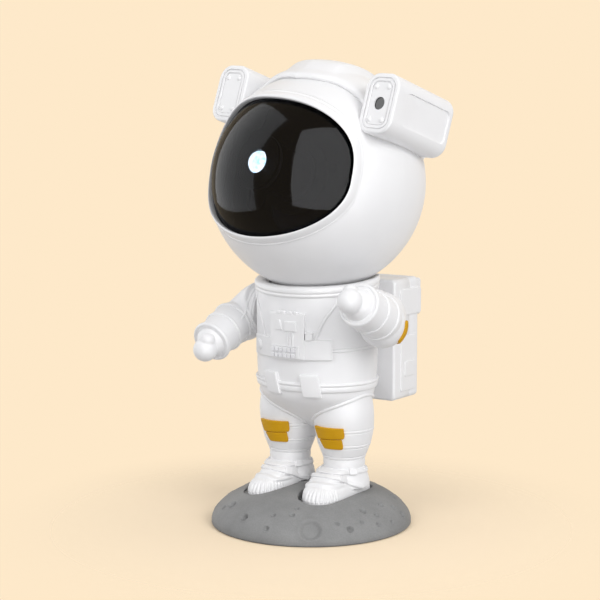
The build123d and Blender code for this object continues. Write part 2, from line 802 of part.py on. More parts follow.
def chest_plate():
    """Band across the chest with a small stud near its right end."""
    plate = (torso_form(CHEST_PLATE_PROUD) & chest_plate_window()) - torso_form(SEAT)
    stud_x = STUD_INSET - CHEST_PLATE_W / 2
    stud = around(0) * rod_y(STUD_R, -FAR, 0, stud_x, CHEST_PLATE_Z + CHEST_PLATE_H / 2)
    return plate + ((torso_form(CHEST_PLATE_PROUD + STUD_PROUD) - torso_form(SEAT)) & stud)


def unit_window(x, z, width, height):
    """Cutter for a mark on the unit, from its middle and its lower edge."""
    return block(x - width / 2, x + width / 2, -FAR, 0, z, z + height)


def chest_unit():
    """Control box over the band: three bars, a square and a triangle stand on its face."""
    unit = wrap(UNIT_TURN, UNIT_W, UNIT_LOW_Z, UNIT_TOP_Z, SEAT, UNIT_PROUD)
    unit -= torso_form(CHEST_PLATE_PROUD + SEAT) & chest_plate_window()
    relief = torso_form(UNIT_PROUD + RELIEF) - torso_form(UNIT_PROUD - RELIEF)
    square_low = UNIT_TOP_Z - EDGE_STUD - MARK_MARGIN - SQUARE
    windows = [unit_window(SQUARE_X, square_low, SQUARE, SQUARE)]
    for index in (-1, 0, 1):
        windows.append(unit_window(SQUARE_X + index * BAR_PITCH, square_low - BAR_L, BAR_W, BAR_L))
    for index in range(EDGE_STUDS):
        x = (index - (EDGE_STUDS - 1) / 2) * UNIT_W / EDGE_STUDS
        windows.append(unit_window(x, UNIT_TOP_Z - EDGE_STUD, 2 * EDGE_STUD, EDGE_STUD))
    triangle = RegularPolygon(TRIANGLE_R, 3, rotation=90)
    windows.append(along_y(Pos(-SQUARE_X, square_low + SQUARE / 2) * triangle, -FAR, 0))
    for window in windows:
        unit += relief & (around(UNIT_TURN) * window)
    return unit


def chest_keys():
    group = []
    skin = torso_form(UNIT_PROUD + KEY_PROUD) - torso_form(UNIT_PROUD + SEAT)
    for row in range(KEY_ROWS):
        for col in range(KEY_COLS):
            x = (col - (KEY_COLS - 1) / 2) * KEY_PITCH
            z = KEY_LOW_Z + row * KEY_PITCH
            key = skin & (around(UNIT_TURN) * unit_window(x, z, KEY_W, KEY_H))
            group.extend(key.solids())
    return Compound(children=group)


def collar():
    """Tilted ring around the neck, hollowed to clear the head ball."""
    top_oval = TORSO_OVALS[-1]
    face = Ellipse(top_oval[1] + COLLAR_PROUD, top_oval[2] + COLLAR_PROUD)
    ring = extrude(face, amount=COLLAR_H)
    ring = fillet(ring.edges(), COLLAR_ROUND)
    ring = collar_plane() * ring
    ring -= rod_z(NECK_R + TURN_GAP, 0, FAR, 0, FIG_Y)
    return ring - Pos(0, FIG_Y, HEAD_Z) * Sphere(HEAD_R + BALL_GAP + RIM_PROUD)


def neck_seat():
    """Cup that turns on the deck; its dish carries the head ball, its underside the magnet."""
    cup = rod_z(NECK_R, NECK_LOW_Z, NECK_TOP_Z, 0, FIG_Y)
    cup -= Pos(0, FIG_Y, HEAD_Z) * Sphere(HEAD_R + BALL_GAP)
    cup -= rod_z(MAGNET_R + SEAT, NECK_LOW_Z - SEAT, MAGNET_LOW_Z + MAGNET_T + SEAT, 0, FIG_Y)
    return cup


def neck_magnet():
    """Ring magnet pressed into the seat; the deck's post is its bearing."""
    ring = rod_z(MAGNET_R, MAGNET_LOW_Z, MAGNET_LOW_Z + MAGNET_T, 0, FIG_Y)
    return ring - rod_z(NECK_POST_R + RUN, 0, FAR, 0, FIG_Y)


# --- Arms -------------------------------------------------------------------------------------

def arm_place(rise):
    """Shoulder frame: -Y is the way the arm points at zero rise."""
    return Pos(0, FIG_Y, SHOULDER_Z) * Rot(X=-rise)


def cuff_frame():
    """Frame at the cuff's end, +Z out of the sleeve."""
    rise = math.radians(CUFF_RISE)
    cuff = (ELBOW_X + CUFF_OUT, ELBOW_Y - CUFF_AHEAD, ELBOW_Z + CUFF_LIFT)
    return Plane(origin=cuff, x_dir=(1, 0, 0), z_dir=(0, -math.cos(rise), math.sin(rise)))


def fist():
    """Closed hand on its wrist, with the thumb on top."""
    hand = Pos(HAND_SHIFT, 0, HAND_REACH) * Sphere(FIST_R)
    hand += Pos(HAND_SHIFT, 0, HAND_REACH / 2) * Cylinder(WRIST_R, HAND_REACH)
    return hand + Pos(HAND_SHIFT + THUMB_IN, THUMB_UP, HAND_REACH - THUMB_BACK) * Sphere(THUMB_R)


def arm_form():
    """Left arm at zero rise: padded upper arm, elbow, ringed sleeve, fist and thumb."""
    cuff = cuff_frame()
    shoulder = (SHOULDER_X + UPPER_ARM_R / 2, 0, -UPPER_ARM_DROP)
    elbow = (ELBOW_X, ELBOW_Y, ELBOW_Z)
    solid = rod_x(SHOULDER_R, SHOULDER_X, SHOULDER_X + UPPER_ARM_R / 2)
    solid += Pos(*shoulder) * Sphere(UPPER_ARM_R)
    solid += Pos(*elbow) * Sphere(ELBOW_R)
    solid += limb(shoulder, UPPER_ARM_R, elbow, ELBOW_R - UPPER_ARM_LOSS)
    grip = (Align.CENTER, Align.CENTER, Align.MAX)
    solid += cuff * Cone(ELBOW_R - SLEEVE_LOSS, CUFF_R, FOREARM_L, align=grip)
    for reach in ARM_RINGS:
        radius = CUFF_R + (ELBOW_R - CUFF_R) * reach / FOREARM_L
        solid += cuff * (Pos(0, 0, -reach) * Torus(radius - ARM_RING_R / 2, ARM_RING_R))
    solid += cuff * fist()
    solid &= block(SHOULDER_X + TURN_GAP, FAR, -FAR, FAR, -FAR, FAR)
    return solid - rod_x(PIN_R, 0, PIN_OUTSIDE) - patch_form()


def patch_form():
    """Pad over the back of the elbow."""
    skin = shell_between(ELBOW_R - PATCH_SINK, ELBOW_R + PATCH_PROUD)
    window = block(-PATCH_W / 2, PATCH_W / 2, 0, FAR, -PATCH_BELOW, PATCH_ABOVE)
    return Pos(ELBOW_X, ELBOW_Y, ELBOW_Z) * (skin & window)


def pin_form():
    """Shoulder pin with its retaining flange inside the torso."""
    pin = rod_x(PIN_R, PIN_INSIDE, PIN_OUTSIDE)
    return pin + rod_x(PIN_FLANGE_R, PIN_INSIDE, PIN_INSIDE + PIN_FLANGE_T)


def on_side(form, side, rise):
    if side < 0:
        form = mirror(form, about=Plane.YZ)
    return arm_place(rise) * form


# --- Backpack ---------------------------------------------------------------------------------

def pack_solid(inset):
    half = PACK_HALF_W - inset
    front = PACK_FRONT_Y - FIG_Y + inset
    body = block(-half, half, front, PACK_BACK_Y - inset, PACK_LOW_Z + inset, PACK_TOP_Z - inset)
    body = fillet(body.edges(), PACK_ROUND - inset / 2)
    half -= HATCH_MARGIN_X
    back = PACK_BACK_Y + HATCH_T - inset
    hatch = block(-half, half, PACK_SPLIT_Y, back, HATCH_LOW_Z + inset, HATCH_TOP_Z - inset)
    hatch = fillet(hatch.edges().group_by(Axis.Y)[-1], HATCH_ROUND - inset / 2)
    return body + hatch


def pack_shell():
    shell = pack_solid(0)
    front = PACK_FRONT_Y + SIDE_PANEL_MARGIN
    back = PACK_BACK_Y - SIDE_PANEL_MARGIN
    rows = (
        (PACK_LOW_Z + SIDE_PANEL_MARGIN, HATCH_LOW_Z - SIDE_PANEL_MARGIN),
        (HATCH_LOW_Z, PACK_TOP_Z - SIDE_PANEL_MARGIN),
    )
    half = PACK_HALF_W + SIDE_PANEL_PROUD
    for low, high in rows:
        shell += block(-half, half, front, back, low, high)
    return shell - pack_solid(PACK_WALL)


def backpack_halves():
    shell = pack_shell()
    front = shell & block(-FAR, FAR, -FAR, PACK_SPLIT_Y, 0, FAR)
    front -= torso_form(SEAT)
    front -= belt_ring(SEAT)
    front -= pelvis_form(SEAT)
    collar_r = TORSO_OVALS[-1][1] + COLLAR_PROUD + SEAT
    front -= above_collar_plane() & rod_z(collar_r, 0, FAR, 0, FIG_Y)
    rear = shell & block(-FAR, FAR, PACK_SPLIT_Y, FAR, 0, FAR)
    return front, rear


# --- Head: shells and visor (all in the head's own frame: -Y is where it looks) ---------------

def visor_prism(grow_x, grow_up, grow_low):
    """Prism through the visor opening, open to the front."""
    up = OPEN_UP + grow_up
    low = OPEN_UP + grow_low
    outline = super_oval(OPEN_HALF_W + grow_x, up, low, OPEN_TOP_POWER, OPEN_LOW_POWER)
    return along_y(Pos(0, OPEN_MID_Z) * outline, -FAR, 0)


def rim_prism(grow):
    return visor_prism(RIM_SIDE_W + grow, RIM_TOP_W + grow, RIM_LOW_W + grow)


def rear_room():
    """Everything behind the rear cover's joint plane."""
    return block(-FAR, FAR, REAR_SPLIT, FAR, -FAR, FAR)


def screw_spots():
    reach = HEAD_SCREW_PITCH / math.sqrt(2)
    return [(sx * reach, sz * reach) for sx in (-1, 1) for sz in (-1, 1)]


def head_screw_top():
    """Screw heads lie just under the ball's surface at their outer edge."""
    edge = HEAD_SCREW_PITCH + SCREW_HEAD_R
    return math.sqrt(HEAD_R ** 2 - edge ** 2) - HEAD_SCREW_SINK


def head_shell():
    solid = shell_between(HEAD_INNER, HEAD_R)
    tip = head_screw_top() - SCREW_HEAD_T - SCREW_L
    for x, z in screw_spots():
        solid += rod_y(BOSS_R, tip - SCREW_SPARE, REAR_SPLIT, x, z) & Sphere(HEAD_R - HEAD_WALL / 2)
    for x, z in screw_spots():
        solid -= rod_y(SCREW_SHANK_R, tip, FAR, x, z)
    solid -= rim_prism(SEAT)
    return solid - rear_room()


def panel_prism(grow):
    return along_y(SlotOverall(PANEL_W + 2 * grow, PANEL_H + 2 * grow), 0, FAR)


def rear_cover():
    """Cap that closes the back of the head: controls, inlet and screw seats."""
    solid = shell_between(HEAD_INNER, HEAD_R) & rear_room()
    for x, z in screw_spots():
        solid += rod_y(BOSS_R, REAR_SPLIT, FAR, x, z) & Sphere(HEAD_R - HEAD_WALL / 2)
    for x, z in board_post_spots():
        solid += rod_y(BOARD_POST_R, BOARD_BACK, FAR, x, z) & Sphere(HEAD_R - HEAD_WALL / 2)
    for x, z in screw_spots():
        solid -= rod_y(SCREW_SHANK_R + SEAT, 0, FAR, x, z)
        solid -= rod_y(SCREW_HEAD_R + SEAT, head_screw_top() - SCREW_HEAD_T, FAR, x, z)
    solid -= panel_prism(SEAT)
    inlet = SlotOverall(INLET_W + 2 * SEAT, INLET_H + 2 * SEAT)
    return solid - along_y(Pos(0, INLET_Z) * inlet, 0, FAR)


def rear_cover_screws():
    group = []
    for x, z in screw_spots():
        top = head_screw_top()
        head = rod_y(SCREW_HEAD_R, top - SCREW_HEAD_T, top, x, z)
        tip = top - SCREW_HEAD_T - SCREW_L + SCREW_SPARE
        shank = rod_y(SCREW_SHANK_R - SEAT, tip, top - SCREW_HEAD_T, x, z)
        group.append(head + shank)
    return Compound(children=group)


def visor_rim():
    """Proud lip around the visor opening."""
    skin = shell_between(HEAD_R + RIM_PROUD - RIM_T, HEAD_R + RIM_PROUD)
    return (skin & rim_prism(0)) - visor_prism(0, 0, 0)


def visor():
    """Dark dome with a flange that sits behind the rim."""
    outer = HEAD_R - VISOR_SINK
    pane = shell_between(outer - VISOR_T, outer) & visor_prism(-SEAT, -SEAT, -SEAT)
    flange_r = HEAD_R + RIM_PROUD - RIM_T - SEAT
    flange = shell_between(outer - VISOR_T, flange_r) & visor_prism(VISOR_LIP, VISOR_LIP, VISOR_LIP)
    return pane + (flange & Sphere(HEAD_INNER - SEAT))


# --- Head: hood and lamp boxes ----------------------------------------------------------------

def ring_about_x(face, front, back):
    """Turn a face drawn in X and Z about the X axis, from front to back degrees off straight up."""
    return Rot(X=-back) * revolve(Plane.XZ * face, Axis.X, revolution_arc=front + back)


def hood_band(half_w, inner_r, outer_r):
    """Flat face between two circles around the head's centre, as wide as the band."""
    ring = Circle(outer_r) - Circle(inner_r)
    return ring & (Pos(0, FAR / 2) * Rectangle(2 * half_w, FAR))


def hood():
    """Raised band over the head from lamp box to lamp box, with a ridge along its middle."""
    band = hood_band(HOOD_HALF_W, HEAD_R + SEAT, HEAD_R + HOOD_T)
    solid = ring_about_x(band, HOOD_FRONT, HOOD_BACK)
    top = HEAD_R + HOOD_T + RIDGE_RISE
    half = RIDGE_HALF_W + RIDGE_SLOPE
    foot = math.sqrt((HEAD_R + HOOD_T - RIDGE_SINK) ** 2 - half ** 2)
    crown = math.sqrt(top ** 2 - RIDGE_HALF_W ** 2)
    low = math.sqrt((HEAD_R + SEAT) ** 2 - half ** 2)
    edge = Polyline((RIDGE_HALF_W, crown), (half, foot), (half, low))
    edge += ThreePointArc((half, low), (0, HEAD_R + SEAT), (-half, low))
    edge += Polyline((-half, low), (-half, foot), (-RIDGE_HALF_W, crown))
    edge += ThreePointArc((-RIDGE_HALF_W, crown), (0, top), (RIDGE_HALF_W, crown))
    return solid + ring_about_x(make_face(edge), RIDGE_FRONT, RIDGE_BACK)


def lamp_outline(inset):
    return RectangleRounded(LAMP_W - 2 * inset, LAMP_H - 2 * inset, LAMP_ROUND - inset)


def lamp_housing(side):
    """Box on the side of the head, open in front for its cap."""
    centre = Pos(side * LAMP_X, LAMP_MID_Z)
    solid = along_y(centre * lamp_outline(0), -LAMP_AHEAD, LAMP_BEHIND)
    solid = fillet(solid.edges().group_by(Axis.Y)[-1], LAMP_WALL)
    solid -= along_y(centre * lamp_outline(LAMP_WALL), -FAR, LAMP_BEHIND - LAMP_WALL)
    return solid - Sphere(HEAD_R + SEAT) - hood_room()


def hood_room():
    """Space that the hood takes, so that the lamp boxes butt against it."""
    half = HOOD_HALF_W + SEAT
    return block(-half, half, -FAR, FAR, -FAR, FAR)


def lamp_cap(side):
    """Front plate of a lamp box: two grooves and four rivets; the left one has the star window."""
    centre = Pos(side * LAMP_X, LAMP_MID_Z)
    cap = along_y(centre * lamp_outline(LAMP_WALL + SEAT), CAP_FRONT, CAP_FRONT + CAP_T)
    for margin in CAP_GROOVES:
        inset = LAMP_WALL + margin
        groove = lamp_outline(inset) - lamp_outline(inset + CAP_GROOVE)
        cap -= along_y(centre * groove, -FAR, CAP_FRONT + CAP_GROOVE)
    if side > 0:
        cap -= rod_y(STAR_HOLE_R + SEAT, -FAR, 0, side * LAMP_X, LAMP_MID_Z)
    ahead = block(-FAR, FAR, CAP_FRONT - RIVET_PROUD, CAP_FRONT, -FAR, FAR)
    for dx in (-RIVET_DX, RIVET_DX):
        for dz in (-RIVET_DZ, RIVET_DZ):
            rivet = Pos(side * LAMP_X + dx, CAP_FRONT, LAMP_MID_Z + dz) * Sphere(RIVET_R)
            cap += rivet & ahead
    return cap - Sphere(HEAD_R + SEAT)


def star_window():
    return rod_y(STAR_HOLE_R, CAP_FRONT + STAR_SINK, CAP_FRONT + CAP_T, LAMP_X, LAMP_MID_Z)


def star_grating():
    front = CAP_FRONT + CAP_T
    return rod_y(LASER_R, front, front + GRATING_T, LAMP_X, LAMP_MID_Z)


def laser_module():
    """Laser barrel held by a block across the lamp box."""
    front = CAP_FRONT + CAP_T + GRATING_T
    module = rod_y(LASER_R, front, front + LASER_L, LAMP_X, LAMP_MID_Z)
    outline = Pos(LAMP_X, LAMP_MID_Z) * lamp_outline(LAMP_WALL + SEAT)
    hold = front + LASER_HOLD_AT
    holder = along_y(outline, hold, hold + LASER_HOLD_T)
    return (module + holder) - Sphere(HEAD_R + SEAT)


# --- Head: optics -----------------------------------------------------------------------------

def post_spots():
    """Lens carrier posts, clear of the turning disc below."""
    spots = []
    for turn in POST_TURNS:
        angle = math.radians(turn)
        spots.append((POST_PITCH * math.cos(angle), AXIS_Z + POST_PITCH * math.sin(angle)))
    return spots


def optics_bulkhead():
    """Round plate across the head: carries lens, disc axle, motor and light source."""
    plate = rod_y(HEAD_INNER, BULK_Y, BULK_BACK) & Sphere(HEAD_INNER - SEAT)
    plate -= rod_y(BULK_WINDOW_R, -FAR, FAR, 0, AXIS_Z)
    plate -= rod_y(SHAFT_R + SHAFT_CLEAR, -FAR, FAR, 0, MOTOR_Z)
    keeper_edge = math.sqrt((HEAD_INNER - KEEPER_T) ** 2 - KEEPER_R ** 2)
    plate -= rod_z(KEEPER_R + KEEPER_CLEAR[0], -FAR, KEEPER_CLEAR[1] - keeper_edge)
    slot = SlotOverall(CABLE_SLOT_L, CABLE_SLOT_W, rotation=90)
    for side in (-1, 1):
        place = Pos(side * (HEAD_INNER - CABLE_SLOT_INSET), CABLE_SLOT_Z)
        plate -= along_y(place * slot, -FAR, FAR)
    axle = rod_y(DISC_AXLE_R, DISC_Y - AXLE_SPARE, BULK_BACK, 0, DISC_Z)
    shoulder = rod_y(2 * DISC_AXLE_R, DISC_Y + DISC_T + TURN_GAP, BULK_BACK, 0, DISC_Z)
    return plate + axle + shoulder


def lens_carrier():
    """Ring plate around the lens barrel on three posts."""
    ring = rod_y(POST_PITCH + CARRIER_EDGE, CARRIER_Y, CARRIER_Y + CARRIER_T, 0, AXIS_Z)
    for x, z in post_spots():
        ring += rod_y(POST_R, CARRIER_Y + CARRIER_T / 2, BULK_Y, x, z)
    return ring - rod_y(BARREL_R + SEAT, -FAR, FAR, 0, AXIS_Z)


def lens_barrel():
    bezel_r = BARREL_R + BEZEL_PROUD
    tube = rod_y(BARREL_R, LENS_Y, DISC_Y - BARREL_TO_DISC, 0, AXIS_Z)
    tube += rod_y(bezel_r, LENS_Y, LENS_Y + BEZEL_T, 0, AXIS_Z)
    tube += rod_y(bezel_r, CARRIER_Y - STOP_T, CARRIER_Y, 0, AXIS_Z)
    tube -= rod_y(LENS_R + SEAT, -FAR, FAR, 0, AXIS_Z)
    return tube - rod_y(BARREL_R - BARREL_WALL, LENS_Y + LENS_T + LENS_RIM_T, FAR, 0, AXIS_Z)


def projection_lens():
    """Plano-convex lens behind the front bezel."""
    rim_y = LENS_Y + LENS_T
    dome_r = (LENS_R ** 2 + LENS_T ** 2) / (2 * LENS_T)
    ball = Pos(0, LENS_Y + dome_r, AXIS_Z) * Sphere(dome_r)
    dome = rod_y(LENS_R, LENS_Y, rim_y, 0, AXIS_Z) & ball
    return dome + rod_y(LENS_R, rim_y, rim_y + LENS_RIM_T, 0, AXIS_Z)


def nebula_disc():
    """Patterned glass disc with its hub bore on the axle."""
    disc = rod_y(DISC_R, DISC_Y, DISC_Y + DISC_T, 0, DISC_Z)
    return disc - rod_y(DISC_AXLE_R + RUN, -FAR, FAR, 0, DISC_Z)


def motor_bore_end():
    return BULK_BACK + MOTOR_L - MOTOR_END_T


def nebula_motor():
    can = rod_y(MOTOR_R, BULK_BACK, BULK_BACK + MOTOR_L, 0, MOTOR_Z)
    return can - rod_y(SHAFT_R + RUN, -FAR, motor_bore_end(), 0, MOTOR_Z)


def drive_roller():
    """Motor shaft with the rubber-tyred roller that turns the disc's rim."""
    front = DISC_Y - ROLLER_EDGE
    shaft = rod_y(SHAFT_R, front, motor_bore_end() - TURN_GAP, 0, MOTOR_Z)
    return shaft + rod_y(ROLLER_R, front, DISC_Y + DISC_T + ROLLER_EDGE, 0, MOTOR_Z)


def led_board():
    board = rod_y(LED_BOARD_R, BULK_BACK, BULK_BACK + LED_BOARD_T, 0, AXIS_Z)
    ahead = block(-FAR, FAR, -FAR, BULK_BACK, -FAR, FAR)
    return board + (Pos(0, BULK_BACK, AXIS_Z) * Sphere(LED_R) & ahead)


def heatsink():
    """Round finned block behind the light source, cut away beside the motor."""
    front = BULK_BACK + LED_BOARD_T
    sink = rod_y(SINK_R, front, front + SINK_L, 0, AXIS_Z)
    pitch = 2 * SINK_R / (SINK_SLOTS + 1)
    for index in range(SINK_SLOTS):
        x = (index - (SINK_SLOTS - 1) / 2) * pitch
        low = x - SINK_SLOT_W / 2
        sink -= block(low, low + SINK_SLOT_W, front + SINK_L - SINK_SLOT_L, FAR, -FAR, FAR)
    return sink - rod_y(MOTOR_R + MOTOR_CLEAR, -FAR, FAR, 0, MOTOR_Z)


# --- Head: electronics, controls and keeper ---------------------------------------------------

def board_post_spots():
    reach_x = BOARD_W / 2 - BOARD_POST_INSET[0]
    reach_z = BOARD_H / 2 - BOARD_POST_INSET[1]
    return [(sx * reach_x, sz * reach_z) for sx in (-1, 1) for sz in (-1, 1)]


def button_xs():
    return [index * BUTTON_PITCH for index in (-1, 0, 1)]


def on_board(x, z, width, height, front, back):
    return block(x - width / 2, x + width / 2, front, back, z - height / 2, z + height / 2)


def main_board():
    """Circuit board behind the controls, with a switch under each button."""
    board = on_board(0, 0, BOARD_W, BOARD_H, BOARD_Y, BOARD_BACK)
    board = fillet(board.edges().filter_by(Axis.Y), BOARD_ROUND)
    for x in button_xs():
        board += on_board(x, 0, SWITCH_W, SWITCH_W, BOARD_BACK, BOARD_BACK + SWITCH_H)
    for x, z, width, height, thick in CHIPS:
        board += on_board(x, z, width, height, BOARD_Y - thick, BOARD_Y)
    return board


def control_panel():
    skin = shell_between(HEAD_INNER, HEAD_R + PANEL_PROUD)
    panel = skin & panel_prism(0)
    for x in button_xs():
        panel -= rod_y(BUTTON_R + RUN, 0, FAR, x, 0)
    return panel


def button(x):
    """Cap that follows the ball, a flange behind the panel and a stem down to its switch."""
    flange_r = BUTTON_R + BUTTON_FLANGE
    flange_top = math.sqrt(HEAD_INNER ** 2 - (abs(x) + flange_r) ** 2) - TOUCH
    flange_low = flange_top - BUTTON_FLANGE_T
    cap = rod_y(BUTTON_R, flange_low, FAR, x, 0) & Sphere(HEAD_R + PANEL_PROUD + BUTTON_PROUD)
    cap += rod_y(flange_r, flange_low, flange_top, x, 0)
    switch = BOARD_BACK + SWITCH_H
    return cap + rod_y(BUTTON_STEM_R, switch + BUTTON_TRAVEL + TOUCH, flange_top, x, 0)


def power_inlet():
    """Metal socket shell with its tongue, seated on the main board."""
    mouth = math.sqrt(HEAD_R ** 2 - (abs(INLET_Z) + INLET_H / 2) ** 2) - INLET_SINK
    floor_y = mouth - INLET_DEPTH
    middle = Pos(0, INLET_Z)
    body = along_y(middle * SlotOverall(INLET_W, INLET_H), BOARD_BACK, mouth)
    inside = SlotOverall(INLET_W - 2 * INLET_WALL, INLET_H - 2 * INLET_WALL)
    body -= along_y(middle * inside, floor_y, FAR)
    return body + along_y(middle * Rectangle(TONGUE_W, TONGUE_T), floor_y, mouth - INLET_SINK)


def keeper_plate():
    """Steel dish inside the bottom of the head, which the neck magnet holds."""
    skin = shell_between(HEAD_INNER - SEAT - KEEPER_T, HEAD_INNER - SEAT)
    return skin & rod_z(KEEPER_R, -FAR, 0)


# --- Assembly ---------------------------------------------------------------------------------

def build_nodes():
    torso_front, torso_back = torso_halves()
    pack_front, pack_rear = backpack_halves()
    nodes = {
        "base_shell": base_shell(),
        "base_cover": base_cover(),
        "base_weight": base_weight(),
        "base_screws": base_screws(),
        "base_pad": base_pad(),
        "torso_front": torso_front,
        "torso_back": torso_back,
        "pelvis": pelvis(),
        "knee_patches": knee_patches(),
        "belt": belt(),
        "chest_plate": chest_plate(),
        "chest_unit": chest_unit(),
        "chest_keys": chest_keys(),
        "collar": collar(),
        "neck_seat": neck_seat(),
        "neck_magnet": neck_magnet(),
        "backpack_front": pack_front,
        "backpack_rear": pack_rear,
    }
    sides = (("left", 1, LEFT_ARM_RISE), ("right", -1, RIGHT_ARM_RISE))
    for name, side, rise in sides:
        nodes[name + "_leg"] = leg(side)
        nodes[name + "_boot"] = boot(side)
        nodes[name + "_arm"] = on_side(arm_form(), side, rise)
        nodes[name + "_elbow_patch"] = on_side(patch_form(), side, rise)
        nodes[name + "_shoulder_pin"] = on_side(pin_form(), side, rise)
        nodes[name + "_lamp_housing"] = HEAD_FRAME * lamp_housing(side)
        nodes[name + "_lamp_cap"] = HEAD_FRAME * lamp_cap(side)
    head_pieces = (
        head_shell,
        rear_cover,
        rear_cover_screws,
        visor_rim,
        visor,
        hood,
        star_window,
        star_grating,
        laser_module,
        optics_bulkhead,
        lens_carrier,
        lens_barrel,
        projection_lens,
        nebula_disc,
        nebula_motor,
        drive_roller,
        led_board,
        heatsink,
        main_board,
        control_panel,
        power_inlet,
        keeper_plate,
    )
    for piece in head_pieces:
        nodes[piece.__name__] = HEAD_FRAME * piece()
    names = ("power_button", "colour_button", "speed_button")
    for name, x in zip(names, button_xs()):
        nodes[name] = HEAD_FRAME * button(x)
    return nodes


def main():
    os.makedirs("parts", exist_ok=True)
    for name, solid in build_nodes().items():
        export_step(solid, os.path.join("parts", name + ".step"))


if __name__ == "__main__":
    main()
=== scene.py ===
"""Night-light star projector shaped as a space-suited figure on a moon base: its looks and its studio.

Sizes are millimetres until a mesh is made. "Left" is the figure's own left side, +X; it faces -Y.
"""
import json
import math

import bmesh
import bpy
import numpy as np
from mathutils import Matrix, Vector
from mathutils.bvhtree import BVHTree


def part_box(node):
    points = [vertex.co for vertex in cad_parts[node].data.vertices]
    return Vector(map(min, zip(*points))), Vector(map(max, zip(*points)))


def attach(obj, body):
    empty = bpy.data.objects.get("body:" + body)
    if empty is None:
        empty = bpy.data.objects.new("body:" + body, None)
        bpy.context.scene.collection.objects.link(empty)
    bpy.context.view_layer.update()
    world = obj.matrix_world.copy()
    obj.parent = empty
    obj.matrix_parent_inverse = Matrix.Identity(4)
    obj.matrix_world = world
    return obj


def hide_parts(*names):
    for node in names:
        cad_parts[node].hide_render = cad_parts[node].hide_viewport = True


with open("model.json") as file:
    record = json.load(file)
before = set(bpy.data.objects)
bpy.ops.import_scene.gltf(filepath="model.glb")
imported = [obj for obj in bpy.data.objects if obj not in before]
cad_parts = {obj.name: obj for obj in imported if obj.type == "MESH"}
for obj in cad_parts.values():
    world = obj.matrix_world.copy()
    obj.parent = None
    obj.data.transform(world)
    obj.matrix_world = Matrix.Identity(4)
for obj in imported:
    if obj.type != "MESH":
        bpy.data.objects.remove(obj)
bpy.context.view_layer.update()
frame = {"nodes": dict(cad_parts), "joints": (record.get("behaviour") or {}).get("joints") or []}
MM = 0.001
JOINTS = {joint["name"]: joint for joint in frame["joints"]}


def joint_centre(name):
    return np.array(JOINTS[name]["pos_m"]) / MM


def low(node):
    return np.array(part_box(node)[0]) / MM


def high(node):
    return np.array(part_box(node)[1]) / MM


# --- Places that come from the frame ---
HEAD_CENTRE = joint_centre("head_turn")
SHOULDER = joint_centre("left_arm_swing")
FIG_Y = HEAD_CENTRE[1]
HEAD_TURN, HEAD_NOD, HEAD_ROLL = -7.5, -16.9, 2.7
HEAD_R = 52.5
BASE_R = high("base_shell")[0]
BASE_H = high("base_shell")[2]
BASE_FLOOR = low("base_shell")[2]
SOLE_Z = low("left_boot")[2]
HEAD = (
    Matrix.Translation(HEAD_CENTRE)
    @ Matrix.Rotation(math.radians(HEAD_TURN), 4, "Z")
    @ Matrix.Rotation(math.radians(HEAD_NOD), 4, "X")
    @ Matrix.Rotation(math.radians(HEAD_ROLL), 4, "Y")
)

SIDE_NAMES = {-1: "right", 1: "left"}

# --- Mesh tools ---


def spline(x, xs, ys):
    """Smooth curve through the points (xs, ys), held level beyond their ends."""
    xs = np.asarray(xs, float)
    ys = np.asarray(ys, float)
    slope = np.gradient(ys, xs)
    x = np.clip(x, xs[0], xs[-1])
    i = np.clip(np.searchsorted(xs, x) - 1, 0, len(xs) - 2)
    h = xs[i + 1] - xs[i]
    t = (x - xs[i]) / h
    rise = (3 - 2 * t) * t * t
    return (
        ys[i] + (ys[i + 1] - ys[i]) * rise
        + h * slope[i] * t * (1 - t) ** 2
        - h * slope[i + 1] * t * t * (1 - t)
    )


def step(x, start, end):
    """0 before start, 1 after end, smooth between them."""
    t = np.clip((x - start) / (end - start), 0, 1)
    return t * t * (3 - 2 * t)


def bump(distance, width):
    return np.exp(-((distance / width) ** 2))


def make_mesh(name, points, faces, sharp=38.0):
    mesh = bpy.data.meshes.new(name)
    mesh.from_pydata((np.asarray(points, float) * MM).tolist(), [], faces)
    form = bmesh.new()
    form.from_mesh(mesh)
    bmesh.ops.remove_doubles(form, verts=form.verts, dist=1e-7)
    bmesh.ops.recalc_face_normals(form, faces=form.faces)
    form.to_mesh(mesh)
    form.free()
    finish_shading(mesh, sharp)
    return mesh


def finish_shading(mesh, sharp=38.0):
    mesh.shade_smooth()
    mesh.set_sharp_from_angle(angle=math.radians(sharp))


def add_piece(name, mesh, body, material, slot="white_shell", stands_for=()):
    mesh.materials.clear()
    mesh.materials.append(material)
    piece = linked(name, mesh)
    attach(piece, body)
    if stands_for:
        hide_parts(*stands_for)
    return piece


def add_suit(name, parts, stands_for=(), sharp=60):
    """Piece of the suit from points and faces."""
    return add_piece(name, make_mesh(name, *parts, sharp), "figure", SUIT, "white_shell", stands_for)


def loft(rings, capped=True):
    """Closed form through rings of equally many points; a cap fans out to the ring's middle."""
    rings = [np.asarray(ring, float) for ring in rings]
    count = len(rings[0])
    points = np.vstack(rings)
    faces = []
    for i in range(len(rings) - 1):
        for j in range(count):
            k = (j + 1) % count
            faces.append((i * count + j, i * count + k, (i + 1) * count + k, (i + 1) * count + j))
    if not capped:
        return points, faces
    for start, ring in ((0, rings[0]), (count * (len(rings) - 1), rings[-1])):
        middle = len(points)
        points = np.vstack([points, ring.mean(0)])
        for j in range(count):
            faces.append((start + j, start + (j + 1) % count, middle))
    return points, faces


def tube_loop(rings):
    """Closed sweep: the last ring joins the first."""
    rings = list(rings)
    return loft(rings + rings[:1], capped=False)


def coords(mesh):
    flat = np.empty(3 * len(mesh.vertices))
    mesh.vertices.foreach_get("co", flat)
    return flat.reshape(-1, 3) / MM


def set_coords(mesh, points):
    mesh.vertices.foreach_set("co", (points * MM).ravel())
    mesh.update()


